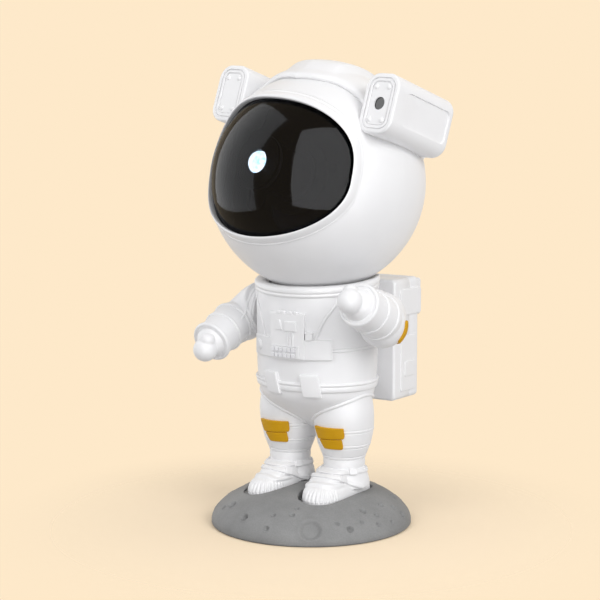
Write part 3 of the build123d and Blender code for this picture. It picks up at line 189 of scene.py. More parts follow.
def normals(mesh):
    flat = np.empty(3 * len(mesh.vertices))
    mesh.vertices.foreach_get("normal", flat)
    return flat.reshape(-1, 3)


def moved(points, matrix):
    """Points in millimetres through a matrix whose offset is in millimetres."""
    grid = np.array(matrix)
    return np.asarray(points, float) @ grid[:3, :3].T + grid[:3, 3]


def linked(name, data):
    """New object in the scene."""
    made = bpy.data.objects.new(name, data)
    bpy.context.scene.collection.objects.link(made)
    return made


def applied(form):
    """Mesh with the object's modifiers applied; the object itself goes."""
    bpy.context.view_layer.update()
    result = bpy.data.meshes.new_from_object(form.evaluated_get(bpy.context.evaluated_depsgraph_get()))
    bpy.data.objects.remove(form)
    return result


def join_parts(parts):
    points, faces = [], []
    for part_points, part_faces in parts:
        start = len(points)
        points.extend(np.asarray(part_points).tolist())
        faces.extend(tuple(start + i for i in face) for face in part_faces)
    return np.array(points), faces


def fuse(parts, voxel, rounds):
    """One soft skin around overlapping closed forms, each given as points and faces."""
    points, faces = join_parts(parts)
    mesh = bpy.data.meshes.new("fuse")
    mesh.from_pydata((points * MM).tolist(), [], faces)
    form = linked("fuse", mesh)
    remesh = form.modifiers.new("remesh", "REMESH")
    remesh.mode = "VOXEL"
    remesh.voxel_size = voxel * MM
    soften = form.modifiers.new("soften", "SMOOTH")
    soften.factor = 0.5
    soften.iterations = rounds
    return applied(form)


def carve(mesh, offset):
    """Move each point along its normal by offset(points), in millimetres."""
    points = coords(mesh)
    set_coords(mesh, points + normals(mesh) * offset(points)[:, None])
    finish_shading(mesh, 60)


def cut(mesh, cutter_parts):
    """Boolean difference of a mesh and closed forms."""
    form = linked("cut", mesh)
    tools = []
    for points, faces in cutter_parts:
        tool = linked("tool", make_mesh("tool", points, faces))
        trim = form.modifiers.new("trim", "BOOLEAN")
        trim.operation = "DIFFERENCE"
        trim.solver = "EXACT"
        trim.object = tool
        tools.append(tool)
    result = applied(form)
    for tool in tools:
        bpy.data.objects.remove(tool)
    return result


def keep_flats(mesh):
    """Shading weighted by area, so that large faces stay flat beside their rounded edges."""
    form = linked("flats", mesh)
    form.modifiers.new("flats", "WEIGHTED_NORMAL").keep_sharp = True
    return applied(form)


def tree_of(mesh):
    points = [tuple(p) for p in coords(mesh)]
    return BVHTree.FromPolygons(points, [tuple(face.vertices) for face in mesh.polygons])


def land(tree, source, target):
    """Where a line from source to target first meets the tree's surface, and the normal there."""
    source = Vector(source)
    spot, normal, _, _ = tree.ray_cast(source, (Vector(target) - source).normalized())
    if normal.dot(source - spot) < 0:
        normal = -normal
    return np.array(spot), np.array(normal)


def whole_turn(count):
    """Even steps once round, in radians."""
    return np.linspace(0, 2 * np.pi, count, endpoint=False)


def squarer(wave, power):
    """Sine or cosine for a super-ellipse; power 2 is an ellipse, more is squarer."""
    return np.sign(wave) * np.abs(wave) ** (2 / power)


def ring_xy(radius_x, radius_y, z, centre=(0, 0), count=96):
    """Level ellipse."""
    turn = whole_turn(count)
    x = centre[0] + radius_x * np.cos(turn)
    y = centre[1] + radius_y * np.sin(turn)
    return np.column_stack([x, y, np.full(count, z)])


def ball(radius, centre):
    """Closed ball as level rings."""
    rings = []
    for tilt in np.linspace(-np.pi / 2, np.pi / 2, 25)[1:-1]:
        reach = radius * np.cos(tilt)
        rings.append(ring_xy(reach, reach, radius * np.sin(tilt), count=48) + np.asarray(centre, float))
    points, faces = loft(rings)
    points[-2] = np.asarray(centre) - (0, 0, radius)
    points[-1] = np.asarray(centre) + (0, 0, radius)
    return points, faces


def frame_along(direction, hint=(0, 0, 1)):
    """Two unit vectors square to a direction."""
    direction = np.asarray(direction, float) / np.linalg.norm(direction)
    side = np.cross(direction, hint)
    side /= np.linalg.norm(side)
    return side, np.cross(side, direction)


def rod(start, end, radii):
    """Round form from start to end through (share of the length, radius) pairs."""
    start, end = np.asarray(start, float), np.asarray(end, float)
    side, up = frame_along(end - start)
    turn = whole_turn(48)[:, None]
    circle = np.cos(turn) * side + np.sin(turn) * up
    return loft([start + (end - start) * share + radius * circle for share, radius in radii])


def rounded_outline(width, height, corner, inset=0.0, straight=12, arc=8):
    """Points of a rounded rectangle, the same count at every inset."""
    half_w, half_h = width / 2 - inset, height / 2 - inset
    radius = max(corner - inset, 0.02)
    points = []
    corners = ((1, 1, 0), (-1, 1, 90), (-1, -1, 180), (1, -1, 270))
    for index, (sx, sy, start) in enumerate(corners):
        middle = np.array([sx * (half_w - radius), sy * (half_h - radius)])
        turn = np.radians(start + np.linspace(0, 90, arc + 1))[:, None]
        bend = middle + radius * np.hstack([np.cos(turn), np.sin(turn)])
        points.extend(bend)
        nx, ny, nstart = corners[(index + 1) % 4]
        ahead = np.array([nx * (half_w - radius), ny * (half_h - radius)])
        ahead = ahead + radius * np.array([math.cos(math.radians(nstart)), math.sin(math.radians(nstart))])
        for share in np.linspace(0, 1, straight + 1)[1:-1]:
            points.append(bend[-1] + (ahead - bend[-1]) * share)
    return np.array(points)


def pad(surface, outline, proud, edge, sunk=0.6, inner=8):
    """Raised patch on a surface(u, v, lift), with a rounded edge and a closed back."""
    rings = [(outline(0.0), -sunk)]
    for turn in np.linspace(0, np.pi / 2, 5):
        rings.append((outline(edge * (1 - math.cos(turn))), proud - edge * (1 - math.sin(turn))))
    border = outline(edge)
    middle = border.mean(0)
    for share in np.linspace(1, 0, inner + 1)[1:]:
        rings.append((middle + (border - middle) * max(share, 0.004), proud))
    foot = outline(0.0)
    steps = np.linspace(0, 1, inner + 1)[:-1]
    back = [(middle + (foot - middle) * max(share, 0.004), -sunk) for share in steps]
    return loft([surface(flat[:, 0], flat[:, 1], lift) for flat, lift in back + rings])


def strap(path, outwards, width, thick, closed=False, power=3.0, sink=0.35):
    """Soft-edged band along a path of points, lying on the surface that outwards points away from."""
    path = np.asarray(path, float)
    outwards = np.asarray(outwards, float)
    along = np.roll(path, -1, 0) - np.roll(path, 1, 0) if closed else np.gradient(path, axis=0)
    side = np.cross(along, outwards)
    side /= np.linalg.norm(side, axis=1)[:, None]
    turn = whole_turn(24)
    across = width / 2 * squarer(np.cos(turn), power)
    lift = thick / 2 * squarer(np.sin(turn), power) + thick / 2 - sink
    rings = [
        point + across[:, None] * sideways + lift[:, None] * out
        for point, sideways, out in zip(path, side, outwards)
    ]
    return tube_loop(rings) if closed else loft(rings)


def smoothed(path, rounds, closed=False):
    """Path with its points eased towards their neighbours."""
    for _ in range(rounds):
        eased = (np.roll(path, 1, 0) + 2 * path + np.roll(path, -1, 0)) / 4
        path = eased if closed else np.vstack([path[:1], eased[1:-1], path[-1:]])
    return path


# --- Materials ---


def new_material(name):
    material = bpy.data.materials.new(name)
    material.use_nodes = True
    nodes = material.node_tree.nodes
    return material, nodes, material.node_tree.links, nodes["Principled BSDF"]


def put(node, **values):
    """Set a node's own sockets; an underscore stands for a space in a socket's name."""
    for name, value in values.items():
        node.inputs[name.replace("_", " ")].default_value = value


def noise(nodes, scale, detail=4.0, roughness=0.55):
    place = nodes.new("ShaderNodeTexCoord")
    texture = nodes.new("ShaderNodeTexNoise")
    put(texture, Scale=scale, Detail=detail, Roughness=roughness)
    nodes.id_data.links.new(place.outputs["Object"], texture.inputs["Vector"])
    return texture


def ramp(nodes, source, low_value, high_value, low_at=0.35, high_at=0.65):
    """Colours or greys between two values, driven by a texture's factor."""
    blend = nodes.new("ShaderNodeValToRGB")
    for element, value, place in zip(blend.color_ramp.elements, (low_value, high_value), (low_at, high_at)):
        element.color = (*value, 1) if isinstance(value, tuple) else (value, value, value, 1)
        element.position = place
    nodes.id_data.links.new(source, blend.inputs["Fac"])
    return blend


def add_bump(nodes, shader, source, strength, distance):
    node = nodes.new("ShaderNodeBump")
    put(node, Strength=strength, Distance=distance * MM)
    nodes.id_data.links.new(source, node.inputs["Height"])
    nodes.id_data.links.new(node.outputs["Normal"], shader.inputs["Normal"])


def moulded(name, colour, shade, rough=(0.38, 0.5), grain=900.0, depth=0.02, strength=0.25, specular=0.3):
    """Moulded plastic: a fine cloud of tone, uneven sheen and the mould's faint texture."""
    material, nodes, links, shader = new_material(name)
    cloud = noise(nodes, 60.0)
    tone = ramp(nodes, cloud.outputs["Fac"], shade, colour, 0.3, 0.7)
    links.new(tone.outputs["Color"], shader.inputs["Base Color"])
    sheen = noise(nodes, 140.0)
    gloss = ramp(nodes, sheen.outputs["Fac"], rough[0], rough[1])
    links.new(gloss.outputs["Color"], shader.inputs["Roughness"])
    put(shader, Specular_IOR_Level=specular)
    add_bump(nodes, shader, noise(nodes, grain, 2.0).outputs["Fac"], strength, depth)
    return material


def moon_material():
    """Matt grey moulding with a sandy skin and darker dust in patches."""
    material, nodes, links, shader = new_material("moon_grey")
    cloud = noise(nodes, 55.0, 6.0, 0.6)
    tone = ramp(nodes, cloud.outputs["Fac"], (0.195, 0.197, 0.197), (0.258, 0.26, 0.258), 0.3, 0.72)
    speck = noise(nodes, 1500.0, 2.0)
    dust = ramp(nodes, speck.outputs["Fac"], 0.93, 1.03, 0.35, 0.6)
    mix = nodes.new("ShaderNodeMix")
    mix.data_type = "RGBA"
    mix.blend_type = "MULTIPLY"
    put(mix, Factor=1.0)
    links.new(tone.outputs["Color"], mix.inputs["A"])
    links.new(dust.outputs["Color"], mix.inputs["B"])
    links.new(mix.outputs["Result"], shader.inputs["Base Color"])
    put(shader, Roughness=0.72, Specular_IOR_Level=0.25)
    add_bump(nodes, shader, noise(nodes, 1100.0, 5.0, 0.6).outputs["Fac"], 0.35, 0.12)
    return material


def visor_material():
    """Smoke-dark clear plastic: it lets a little of the lens through and mirrors the room."""
    material, nodes, links, shader = new_material("visor_smoke")
    put(shader, Base_Color=(0.002, 0.002, 0.003, 1), IOR=1.45)
    clear = nodes.new("ShaderNodeBsdfTransparent")
    put(clear, Color=(0.34, 0.35, 0.37, 1))
    mirror = nodes.new("ShaderNodeMixShader")
    put(mirror, Fac=0.24)
    links.new(clear.outputs["BSDF"], mirror.inputs[1])
    links.new(shader.outputs["BSDF"], mirror.inputs[2])
    haze = noise(nodes, 30.0, 2.0)
    gloss = ramp(nodes, haze.outputs["Fac"], 0.02, 0.05)
    links.new(gloss.outputs["Color"], shader.inputs["Roughness"])
    links.new(mirror.outputs["Shader"], nodes["Material Output"].inputs["Surface"])
    return material


def metal(name, colour, rough):
    material, nodes, links, shader = new_material(name)
    put(shader, Base_Color=(*colour, 1), Metallic=1.0)
    grain = noise(nodes, 400.0, 3.0)
    gloss = ramp(nodes, grain.outputs["Fac"], rough * 0.8, rough * 1.25)
    links.new(gloss.outputs["Color"], shader.inputs["Roughness"])
    return material


def glow_material():
    """Lit front of the projection lens: pale blue and white in a fine cloud."""
    material, nodes, links, shader = new_material("lens_glow")
    put(shader, Base_Color=(0.6, 0.8, 1.0, 1), Roughness=0.05)
    cloud = noise(nodes, 500.0, 3.0)
    tint = ramp(nodes, cloud.outputs["Fac"], (0.45, 0.78, 1.0), (0.95, 0.99, 1.0), 0.35, 0.6)
    links.new(tint.outputs["Color"], shader.inputs["Emission Color"])
    put(shader, Emission_Strength=18.0)
    return material


def tinted_glass(name, colour, rough):
    material, nodes, links, shader = new_material(name)
    put(shader, Base_Color=(*colour, 1), Transmission_Weight=0.8, Roughness=rough)
    add_bump(nodes, shader, noise(nodes, 900.0, 3.0).outputs["Fac"], 0.2, 0.03)
    return material


WHITE = moulded("white_shell", (0.83, 0.83, 0.835), (0.81, 0.81, 0.818))
SUIT = moulded(
    "suit_white", (0.83, 0.83, 0.835), (0.8, 0.8, 0.81), rough=(0.45, 0.6), grain=1400.0, depth=0.03
)
MOON = moon_material()
GOLD = moulded(
    "patch_gold", (0.64, 0.345, 0.004), (0.56, 0.29, 0.003),
    rough=(0.45, 0.6), grain=700.0, depth=0.06, specular=0.1,
)
SMOKE = visor_material()
BLACK = moulded("black_plastic", (0.012, 0.012, 0.013), (0.008, 0.008, 0.009), rough=(0.3, 0.45))
DARK = moulded("visor_black", (0.004, 0.004, 0.005), (0.003, 0.003, 0.004), rough=(0.08, 0.14), specular=0.5)
FOAM = moulded(
    "dark_foam", (0.03, 0.03, 0.03), (0.02, 0.02, 0.02), rough=(0.8, 0.95), depth=0.15, strength=0.6
)
STEEL = metal("steel", (0.62, 0.62, 0.64), 0.3)
IRON = metal("ballast_iron", (0.2, 0.19, 0.19), 0.6)
ALUMINIUM = metal("aluminium", (0.78, 0.78, 0.79), 0.35)
BRASS = metal("brass", (0.72, 0.52, 0.2), 0.28)
GREEN = moulded("circuit_green", (0.02, 0.16, 0.06), (0.015, 0.11, 0.045), rough=(0.3, 0.4))
GLOW = glow_material()
# The ring round the lens is black plastic; its pinkish grey colour is a painted reflection of the room's
# light.
BEZEL_PAINTED_REFLECTION = moulded("bezel_painted_reflection", (0.5, 0.43, 0.41), (0.42, 0.36, 0.34), rough=(0.3, 0.4))
LENS = tinted_glass("lens_clear", (0.9, 0.95, 1.0), 0.02)
DISC = tinted_glass("disc_glass", (0.2, 0.3, 0.8), 0.12)
BUTTON = moulded("button_white", (0.8, 0.8, 0.82), (0.77, 0.77, 0.79), rough=(0.3, 0.4))

CAD_LOOKS = {
    "base_cover": MOON, "base_weight": IRON, "base_screws": STEEL, "base_pad": FOAM,
    "neck_magnet": STEEL, "rear_cover_screws": STEEL, "visor": SMOKE,
    "star_window": DARK, "star_grating": LENS, "laser_module": BRASS,
    "optics_bulkhead": BLACK, "lens_carrier": BLACK, "lens_barrel": BLACK,
    "projection_lens": GLOW, "nebula_disc": DISC, "nebula_motor": STEEL,
    "drive_roller": FOAM, "led_board": GREEN, "heatsink": ALUMINIUM, "main_board": GREEN,
    "control_panel": BLACK, "power_inlet": STEEL, "keeper_plate": STEEL,
    "left_shoulder_pin": STEEL, "right_shoulder_pin": STEEL,
    "power_button": BUTTON, "colour_button": BUTTON, "speed_button": BUTTON,
}
for node_name, node in frame["nodes"].items():
    for place in node.material_slots:
        place.material = CAD_LOOKS.get(node_name, WHITE)

# --- Moon base ---
CROWN_FOOT = BASE_FLOOR + 1.6
BIG_CRATER = (33.6, 0.94, 5.4)
CRATER_DEPTH, CRATER_RIM, CRATER_FLAT = 1.5, 0.35, 0.62
# turn round the dome from the front in degrees, share of the base's radius, pit radius
PITS = (
    (-58, 0.95, 2.2), (-40, 0.90, 1.8), (-34, 0.84, 2.8), (-12, 0.90, 2.6), (7, 0.95, 1.8),
    (8, 0.83, 1.6), (21, 0.81, 1.8), (23, 0.72, 1.6), (50, 0.90, 1.4), (57, 0.95, 2.2),
    (66, 0.91, 1.4), (72, 0.81, 2.2), (80, 0.88, 1.6), (77, 0.95, 1.6), (92, 0.80, 1.8),
    (89, 0.96, 1.4), (101, 0.87, 1.8), (104, 0.95, 2.2), (121, 0.82, 2.4), (135, 0.90, 2.2),
    (160, 0.77, 2.8), (190, 0.88, 3.2), (215, 0.75, 2.2), (240, 0.88, 2.8), (268, 0.79, 2.4),
    (284, 0.90, 3.0),
)
# the base's edge and hollow underside: distance in from the edge, height above the floor
BASE_EDGE = (
    (0.0, 1.0), (0.0, 0.3), (0.3, 0.0), (2.3, 0.0), (2.3, 2.8), (6.5, 8.2), (BASE_R - 1, 8.2),
)
LEG_X = 16.0
BOOT_MID_Y = -1.5
BOOT_SPLAY = 0.5
BOOT_POWER = 2.6
SOCKET_GROW = 1.5
SOCKET_SHIFT = 0.9


def crown_height(radius):
    share = np.minimum(1, radius / BASE_R)
    return CROWN_FOOT + (BASE_H - CROWN_FOOT) * (1 - share ** 3) ** (1 / 1.6)


def on_crown(turn, share):
    reach = share * BASE_R
    phi = math.radians(turn)
    return np.array([reach * math.sin(phi), -reach * math.cos(phi), crown_height(reach)])


def dent(points, centre, radius, depth, rim, flat):
    """Depth change of a pit: a level middle of the given share, steep walls and a soft raised rim."""
    d = np.linalg.norm(points - centre, axis=1) / radius
    return rim * bump(d - 1.1, 0.16) - depth * (1 - step(d, flat, 1.0))


def boot_frame(side):
    middle = Matrix.Translation((side * LEG_X, BOOT_MID_Y, SOLE_Z))
    return middle @ Matrix.Rotation(math.radians(side * BOOT_SPLAY), 4, "Z")


def boot_ring(half_w, front, rear, height):
    """Level outline of the boot, toes to -Y."""
    turn = whole_turn(120)
    c, s = np.cos(turn), np.sin(turn)
    y = np.where(s > 0, rear, front) * np.abs(s) ** (2 / BOOT_POWER)
    return np.column_stack([half_w * squarer(c, BOOT_POWER), y, np.full(120, float(height))])


def socket_cutter(side):
    """Pocket for a boot; its mouth is rounded where it meets the crown."""
    place = boot_frame(side) @ Matrix.Translation((-SOCKET_SHIFT, 0, 0))
    rings = []
    for grow in (SOCKET_GROW, SOCKET_GROW):
        rings.append(moved(boot_ring(10 + grow, -23.5 - grow, 23.5 + grow, len(rings) * 0.9), place))
    for grow, drop in ((0, 0.9), (0.1, 0.45), (0.35, 0.15), (0.8, -0.05), (0.8, -6)):
        grow += SOCKET_GROW
        ring = moved(boot_ring(10 + grow, -23.5 - grow, 23.5 + grow, 0), place)
        ring[:, 2] = np.maximum(crown_height(np.hypot(ring[:, 0], ring[:, 1])) - drop, SOLE_Z + 1.0)
        rings.append(ring)
    return loft(rings)


def moon_base():
    count = 480
    tilt = np.linspace(0, np.pi / 2, 171)[1:]
    reach = BASE_R * np.sin(tilt) ** (2 / 3)
    height = CROWN_FOOT + (BASE_H - CROWN_FOOT) * np.cos(tilt) ** 1.25
    fall, run = np.gradient(height), np.gradient(reach)
    steep = np.hypot(fall, run)
    turn = whole_turn(count)
    ways = np.column_stack([np.cos(turn), np.sin(turn), np.zeros(count)])
    skin = np.vstack([r * ways + (0, 0, z) for r, z in zip(reach, height)])
    normal = np.vstack([-f * ways + (0, 0, r) for f, r in zip(fall / steep, run / steep)])
    turn_at, share, radius = BIG_CRATER
    offset = dent(skin, on_crown(turn_at, share), radius, CRATER_DEPTH, CRATER_RIM, CRATER_FLAT)
    for turn_at, share, radius in PITS:
        offset += dent(skin, on_crown(turn_at, share), 0.85 * radius, 0.75 * radius, 0.09 * radius, 0.3)
    x, y = skin[:, 0], skin[:, 1]
    offset += 0.1 * (np.sin(x / 7.3 + 1.3) * np.sin(y / 6.1 + 0.4) + np.sin(x / 4.1 - y / 3.7))
    offset *= step(skin[:, 2], CROWN_FOOT, CROWN_FOOT + 2.0)
    skin += offset[:, None] * normal
    over = np.hypot(skin[:, 0], skin[:, 1]) / BASE_R
    skin[:, :2] /= np.maximum(over, 1)[:, None]
    lows = []
    for inset, up in BASE_EDGE:
        lows.append(ring_xy(BASE_R - inset, BASE_R - inset, BASE_FLOOR + up, count=count))
    points, faces = loft([*skin.reshape(-1, count, 3), *lows])
    mesh = cut(make_mesh("moon", points, faces), [socket_cutter(-1), socket_cutter(1)])
    finish_shading(mesh, 50)
    add_piece("moon_base", mesh, "base", MOON, "moon_grey", ["base_shell"])


# --- Boots ---
# height above the sole, front, rear, half width, shift towards the other boot
BOOT_LEVELS = (
    (0.0, -22.8, 22.8, 9.3, 0.0),
    (0.3, -23.5, 23.3, 9.9, 0.0),
    (1.0, -23.7, 23.5, 10.1, 0.0),
    (3.0, -23.3, 23.2, 10.0, 0.1),
    (5.0, -22.4, 22.0, 9.8, 0.3),
    (6.5, -21.2, 20.2, 9.4, 0.6),
    (7.8, -19.6, 18.6, 8.9, 0.9),
    (9.2, -17.2, 17.4, 8.4, 1.1),
    (10.6, -14.5, 16.4, 8.2, 1.1),
    (12.0, -11.8, 15.8, 8.0, 0.9),
    (13.2, -9.4, 15.2, 7.8, 0.5),
    (14.0, -7.6, 14.6, 7.3, 0.3),
)
BOOT_TOP = 29.3 - SOLE_Z
# height above the sole, radius of the shaft
SHAFT_LEVELS = ((4.5, 12.6), (7.0, 12.4), (9.5, 11.8), (11.5, 11.1), (13.3, 10.5), (BOOT_TOP, 10.3))
RIB_PITCH = 2.15
RIB_LOW, RIB_FADE, RIB_HIGH = 1.5, 4.0, 8.2


def boot_relief(points):
    """Ribbed toe guard above its welt, and the rolled folds over the toes."""
    x, y, h = points.T
    toe = np.arctan2(x, -(y + 12.5))
    rib = np.abs((toe * 10.6 / RIB_PITCH + 0.5) % 1 - 0.5) * RIB_PITCH
    band = step(h, RIB_LOW - 0.4, RIB_LOW + 0.2) * (1 - step(h, RIB_FADE, RIB_HIGH))
    band *= 1 - step(np.abs(toe), 1.35, 1.75)
    offset = band * (0.22 - 0.85 * bump(rib, 0.48))
    offset -= 0.32 * bump(h - RIB_LOW + 0.5, 0.25) * (1 - step(y, 14, 20))
    fold = h - 9.3 + 0.028 * np.minimum(x ** 2, 60)
    front = 1 - step(y, -9, -3)
    roll = 0.5 * bump(fold, 0.55) - 0.32 * bump(fold - 1.1, 0.45) - 0.22 * bump(fold + 1.1, 0.4)
    return offset + front * roll


def boot(side):
    place = boot_frame(side)
    inwards = np.array([-side, 0, 0])
    foot = loft([
        boot_ring(half_w, front, rear, h) + shift * inwards for h, front, rear, half_w, shift in BOOT_LEVELS
    ])
    axis = np.array(moved([(side * LEG_X, FIG_Y, SOLE_Z)], place.inverted())[0])
    shaft = loft([ring_xy(radius, radius, h, axis[:2], 64) for h, radius in SHAFT_LEVELS])
    mesh = fuse([foot, shaft], 0.32, 6)
    tree = tree_of(mesh)
    carve(mesh, boot_relief)
    pieces = []

    def around(turns, heights, centre, width, thick):
        path, outs = [], []
        for turn, height in zip(turns, heights):
            way = np.array([math.sin(turn), -math.cos(turn), 0])
            middle = np.array([centre[0], centre[1], height])
            spot, out = land(tree, middle + 40 * way, middle)
            path.append(spot)
            outs.append(out)
        path, outs = smoothed(np.array(path), 5), smoothed(np.array(outs), 5)
        pieces.append(strap(path, outs, width, thick, power=4.0, sink=0.25))
        return path, outs

    def buckle(path, outs, index, width, height, proud):
        spot, out = path[index], outs[index]
        along = path[index + 1] - path[index - 1]
        along = along / np.linalg.norm(along)
        out = out - along * (out @ along)
        out = out / np.linalg.norm(out)
        up = np.cross(along, out)

        def surface(u, v, lift):
            return spot + np.outer(u, along) + np.outer(v, up) + lift * out

        pieces.append(pad(surface, lambda inset: rounded_outline(width, height, 0.7, inset), proud, 0.4))

    degrees = np.linspace(-172, 172, 110)
    heights = spline(degrees, (-172, -90, -20, 25, 65, 100, 172), (12.4, 12.6, 13.3, 13.2, 12.9, 12.5, 12.4))
    path, outs = around(np.radians(degrees), heights, axis, 2.0, 1.0)
    buckle(path, outs, int(np.argmin(np.abs(degrees - 56))), 4.1, 3.3, 1.5)
    degrees = np.linspace(-105, 112, 90)
    heights = spline(
        degrees,
        (-105, -50, -27, -10, 7, 24, 39, 62, 84, 112),
        (7.0, 10.8, 11.7, 12.0, 12.0, 11.7, 11.1, 9.6, 8.0, 5.6),
    )
    path, outs = around(np.radians(degrees), heights, (0, -1.0), 2.2, 1.1)
    buckle(path, outs, int(np.argmin(np.abs(degrees - 50))), 4.0, 3.0, 1.6)
    points, faces = join_parts(pieces)
    trim = make_mesh("trim", moved(points, place), faces)
    name = SIDE_NAMES[side]
    set_coords(mesh, moved(coords(mesh), place))
    finish_shading(mesh, 60)
    add_piece(name + "_moon_boot", mesh, "figure", SUIT, stands_for=[name + "_boot"])
    add_piece(name + "_boot_straps", trim, "figure", SUIT)


# --- Legs and hips ---
LEG_TOP = 70.0
# height, radius of the trouser leg
LEG_PROFILE = (
    (24.0, 9.3), (28.0, 9.8), (31.0, 10.2), (33.2, 10.2), (34.2, 10.4), (36.0, 11.2), (38.0, 12.0),
    (41.0, 13.0), (44.0, 13.75), (47.0, 14.3), (51.0, 14.7), (55.0, 14.8), (58.0, 14.6),
    (62.0, 14.0), (66.0, 13.3), (LEG_TOP, 11.5),
)
LEG_BANDS = ((34.2, 0.55), (40.3, 0.6), (48.0, 0.6))
# height, half width, half depth of the bowl between the thighs
HIP_OVALS = (
    (47.0, 5.0, 3.0), (50.0, 10.5, 7.0), (53.0, 17.0, 11.5), (56.0, 22.0, 15.7), (60.0, 26.4, 20.4),
    (64.0, 29.0, 23.8), (67.0, 29.7, 24.8), (70.0, 30.0, 25.1),
)
HIP_Z, HIP_W, HIP_D = (np.array(column) for column in zip(*HIP_OVALS))


def banded(z, bands):
    """Flat raised band between two fine grooves at each given height."""
    offset = np.zeros_like(z)
    for height, half in bands:
        gap = np.abs(z - height)
        offset += 0.16 * (1 - step(gap, half - 0.1, half + 0.1)) - 0.3 * bump(gap - half - 0.12, 0.16)
    return offset


def leg_radius(z):
    levels, radii = zip(*LEG_PROFILE)
    return spline(z, levels, radii) + banded(np.asarray(z, float), LEG_BANDS)


def hip_side(x, y, z):
    """Below 0 inside the bowl, above 0 outside."""
    return (x / spline(z, HIP_Z, HIP_W)) ** 2 + ((y - FIG_Y) / spline(z, HIP_Z, HIP_D)) ** 2 - 1


def leg_skin(side, turn, z):
    """Point on a trouser leg; turn in radians from the front towards the outside."""
    reach = leg_radius(z)
    x = side * (LEG_X + reach * np.sin(turn))
    y = FIG_Y - reach * np.cos(turn) - 0.6 * step(z, 44, 56)
    return np.column_stack([x, y, np.broadcast_to(z, np.shape(x))])


def trouser_leg(side):
    levels = np.concatenate([np.arange(24, 52, 0.14), np.arange(52, LEG_TOP + 0.01, 0.5)])
    turn = whole_turn(128)
    rings = [leg_skin(side, turn, np.full(128, z)) for z in levels]
    add_suit(SIDE_NAMES[side] + "_trouser_leg", loft(rings), [SIDE_NAMES[side] + "_leg"])


def thigh_piping(side):
    """Cord where the thigh meets the bowl of the hips."""
    levels = np.linspace(49.5, LEG_TOP - 0.5, 400)
    path, outs = [], []
    for turn in np.radians(np.linspace(-84, 264, 180)):
        spots = leg_skin(side, np.full(400, turn), levels)
        outside = hip_side(spots[:, 0], spots[:, 1], levels) > 0
        height = min(levels[np.argmin(outside)] if not outside.all() else LEG_TOP, 67.0)
        spot = leg_skin(side, np.array([turn]), np.array([height]))[0]
        half_w, half_d = spline(height, HIP_Z, HIP_W), spline(height, HIP_Z, HIP_D)
        bowl = np.array([spot[0] / half_w ** 2, (spot[1] - FIG_Y) / half_d ** 2, 0])
        out = bowl / np.linalg.norm(bowl) + (side * math.sin(turn), -math.cos(turn), 0)
        path.append(spot)
        outs.append(out / np.linalg.norm(out))
    path, outs = smoothed(np.array(path), 8), smoothed(np.array(outs), 8)
    add_suit(SIDE_NAMES[side] + "_thigh_piping", strap(path, outs, 1.6, 1.5, power=2.0))


def hips():
    levels = np.linspace(HIP_Z[0], HIP_Z[-1], 60)
    rings = [ring_xy(spline(z, HIP_Z, HIP_W), spline(z, HIP_Z, HIP_D), z, (0, FIG_Y), 160) for z in levels]
    add_suit("hip_panel", loft(rings), ["pelvis"], 38)


def polygon_outline(corners, corner_r):
    """Rounded polygon as a function of its inset; corners run anticlockwise."""
    corners = np.asarray(corners, float)

    def outline(inset):
        middle = corners.mean(0)
        points = []
        n = len(corners)
        for i in range(n):
            before, here, after = corners[i - 1], corners[i], corners[(i + 1) % n]
            a = (before - here) / np.linalg.norm(before - here)
            b = (after - here) / np.linalg.norm(after - here)
            start, end = here + a * corner_r, here + b * corner_r
            for t in np.linspace(0, 1, 6):
                points.append((1 - t) ** 2 * start + 2 * t * (1 - t) * here + t ** 2 * end)
            ahead = after - b * corner_r
            for t in np.linspace(0, 1, 11)[1:-1]:
                points.append(end + (ahead - end) * t)
        points = np.array(points)
        along = np.roll(points, -1, 0) - np.roll(points, 1, 0)
        inward = np.column_stack([-along[:, 1], along[:, 0]]) / np.linalg.norm(along, axis=1)[:, None]
        if ((middle - points) * inward).sum() < 0:
            inward = -inward
        return points + inward * inset

    return outline


KNEE_UPPER = ((-34, 50.1), (-26, 43.9), (32, 44.9), (33.6, 46.4), (32.4, 50.3))
KNEE_LOWER = ((-24.5, 43.75), (-14.5, 39.2), (29.5, 39.4), (30.8, 41.0), (28, 44.65))


def knee_pads():
    """Two stacked pads on the front of each knee; their edges run aslant, alike on both legs."""
    levels, radii = zip(*LEG_PROFILE)
    knee_r = 14.5
    for side in (-1, 1):
        def surface(u, v, lift):
            reach = spline(v, levels, radii) + lift
            turn = u / knee_r
            x = LEG_X * side + reach * np.sin(turn)
            return np.column_stack([x, FIG_Y - reach * np.cos(turn) - 0.6 * step(v, 44, 56), v])

        parts = []
        for corners, proud in ((KNEE_UPPER, 1.1), (KNEE_LOWER, 0.8)):
            flat = [(math.radians(turn) * knee_r, height) for turn, height in corners]
            parts.append(pad(surface, polygon_outline(flat, 0.7), proud, 0.4))
        mesh = make_mesh("pads", *join_parts(parts), sharp=60)
        add_piece(SIDE_NAMES[side] + "_knee_pads", mesh, "figure", GOLD, "patch_gold", ["knee_patches"])


# --- Torso ---
TORSO_OVALS = (
    (62.0, 28.6, 23.4), (64.0, 29.0, 24.0), (68.0, 29.8, 24.9), (72.1, 30.4, 25.4),
    (82.0, 30.9, 25.9), (94.7, 31.0, 26.0), (109.8, 31.0, 26.2), (122.0, 30.6, 26.2),
)
TORSO_Z, TORSO_W, TORSO_D = (np.array(column) for column in zip(*TORSO_OVALS))
COLLAR_Z = 117.2
COLLAR_TILT = math.tan(math.radians(5.7))
SKIN_R = 28.5
TORSO_LOW = 67.5
NECK_R, NECK_FLOOR = 23.8, 109.7


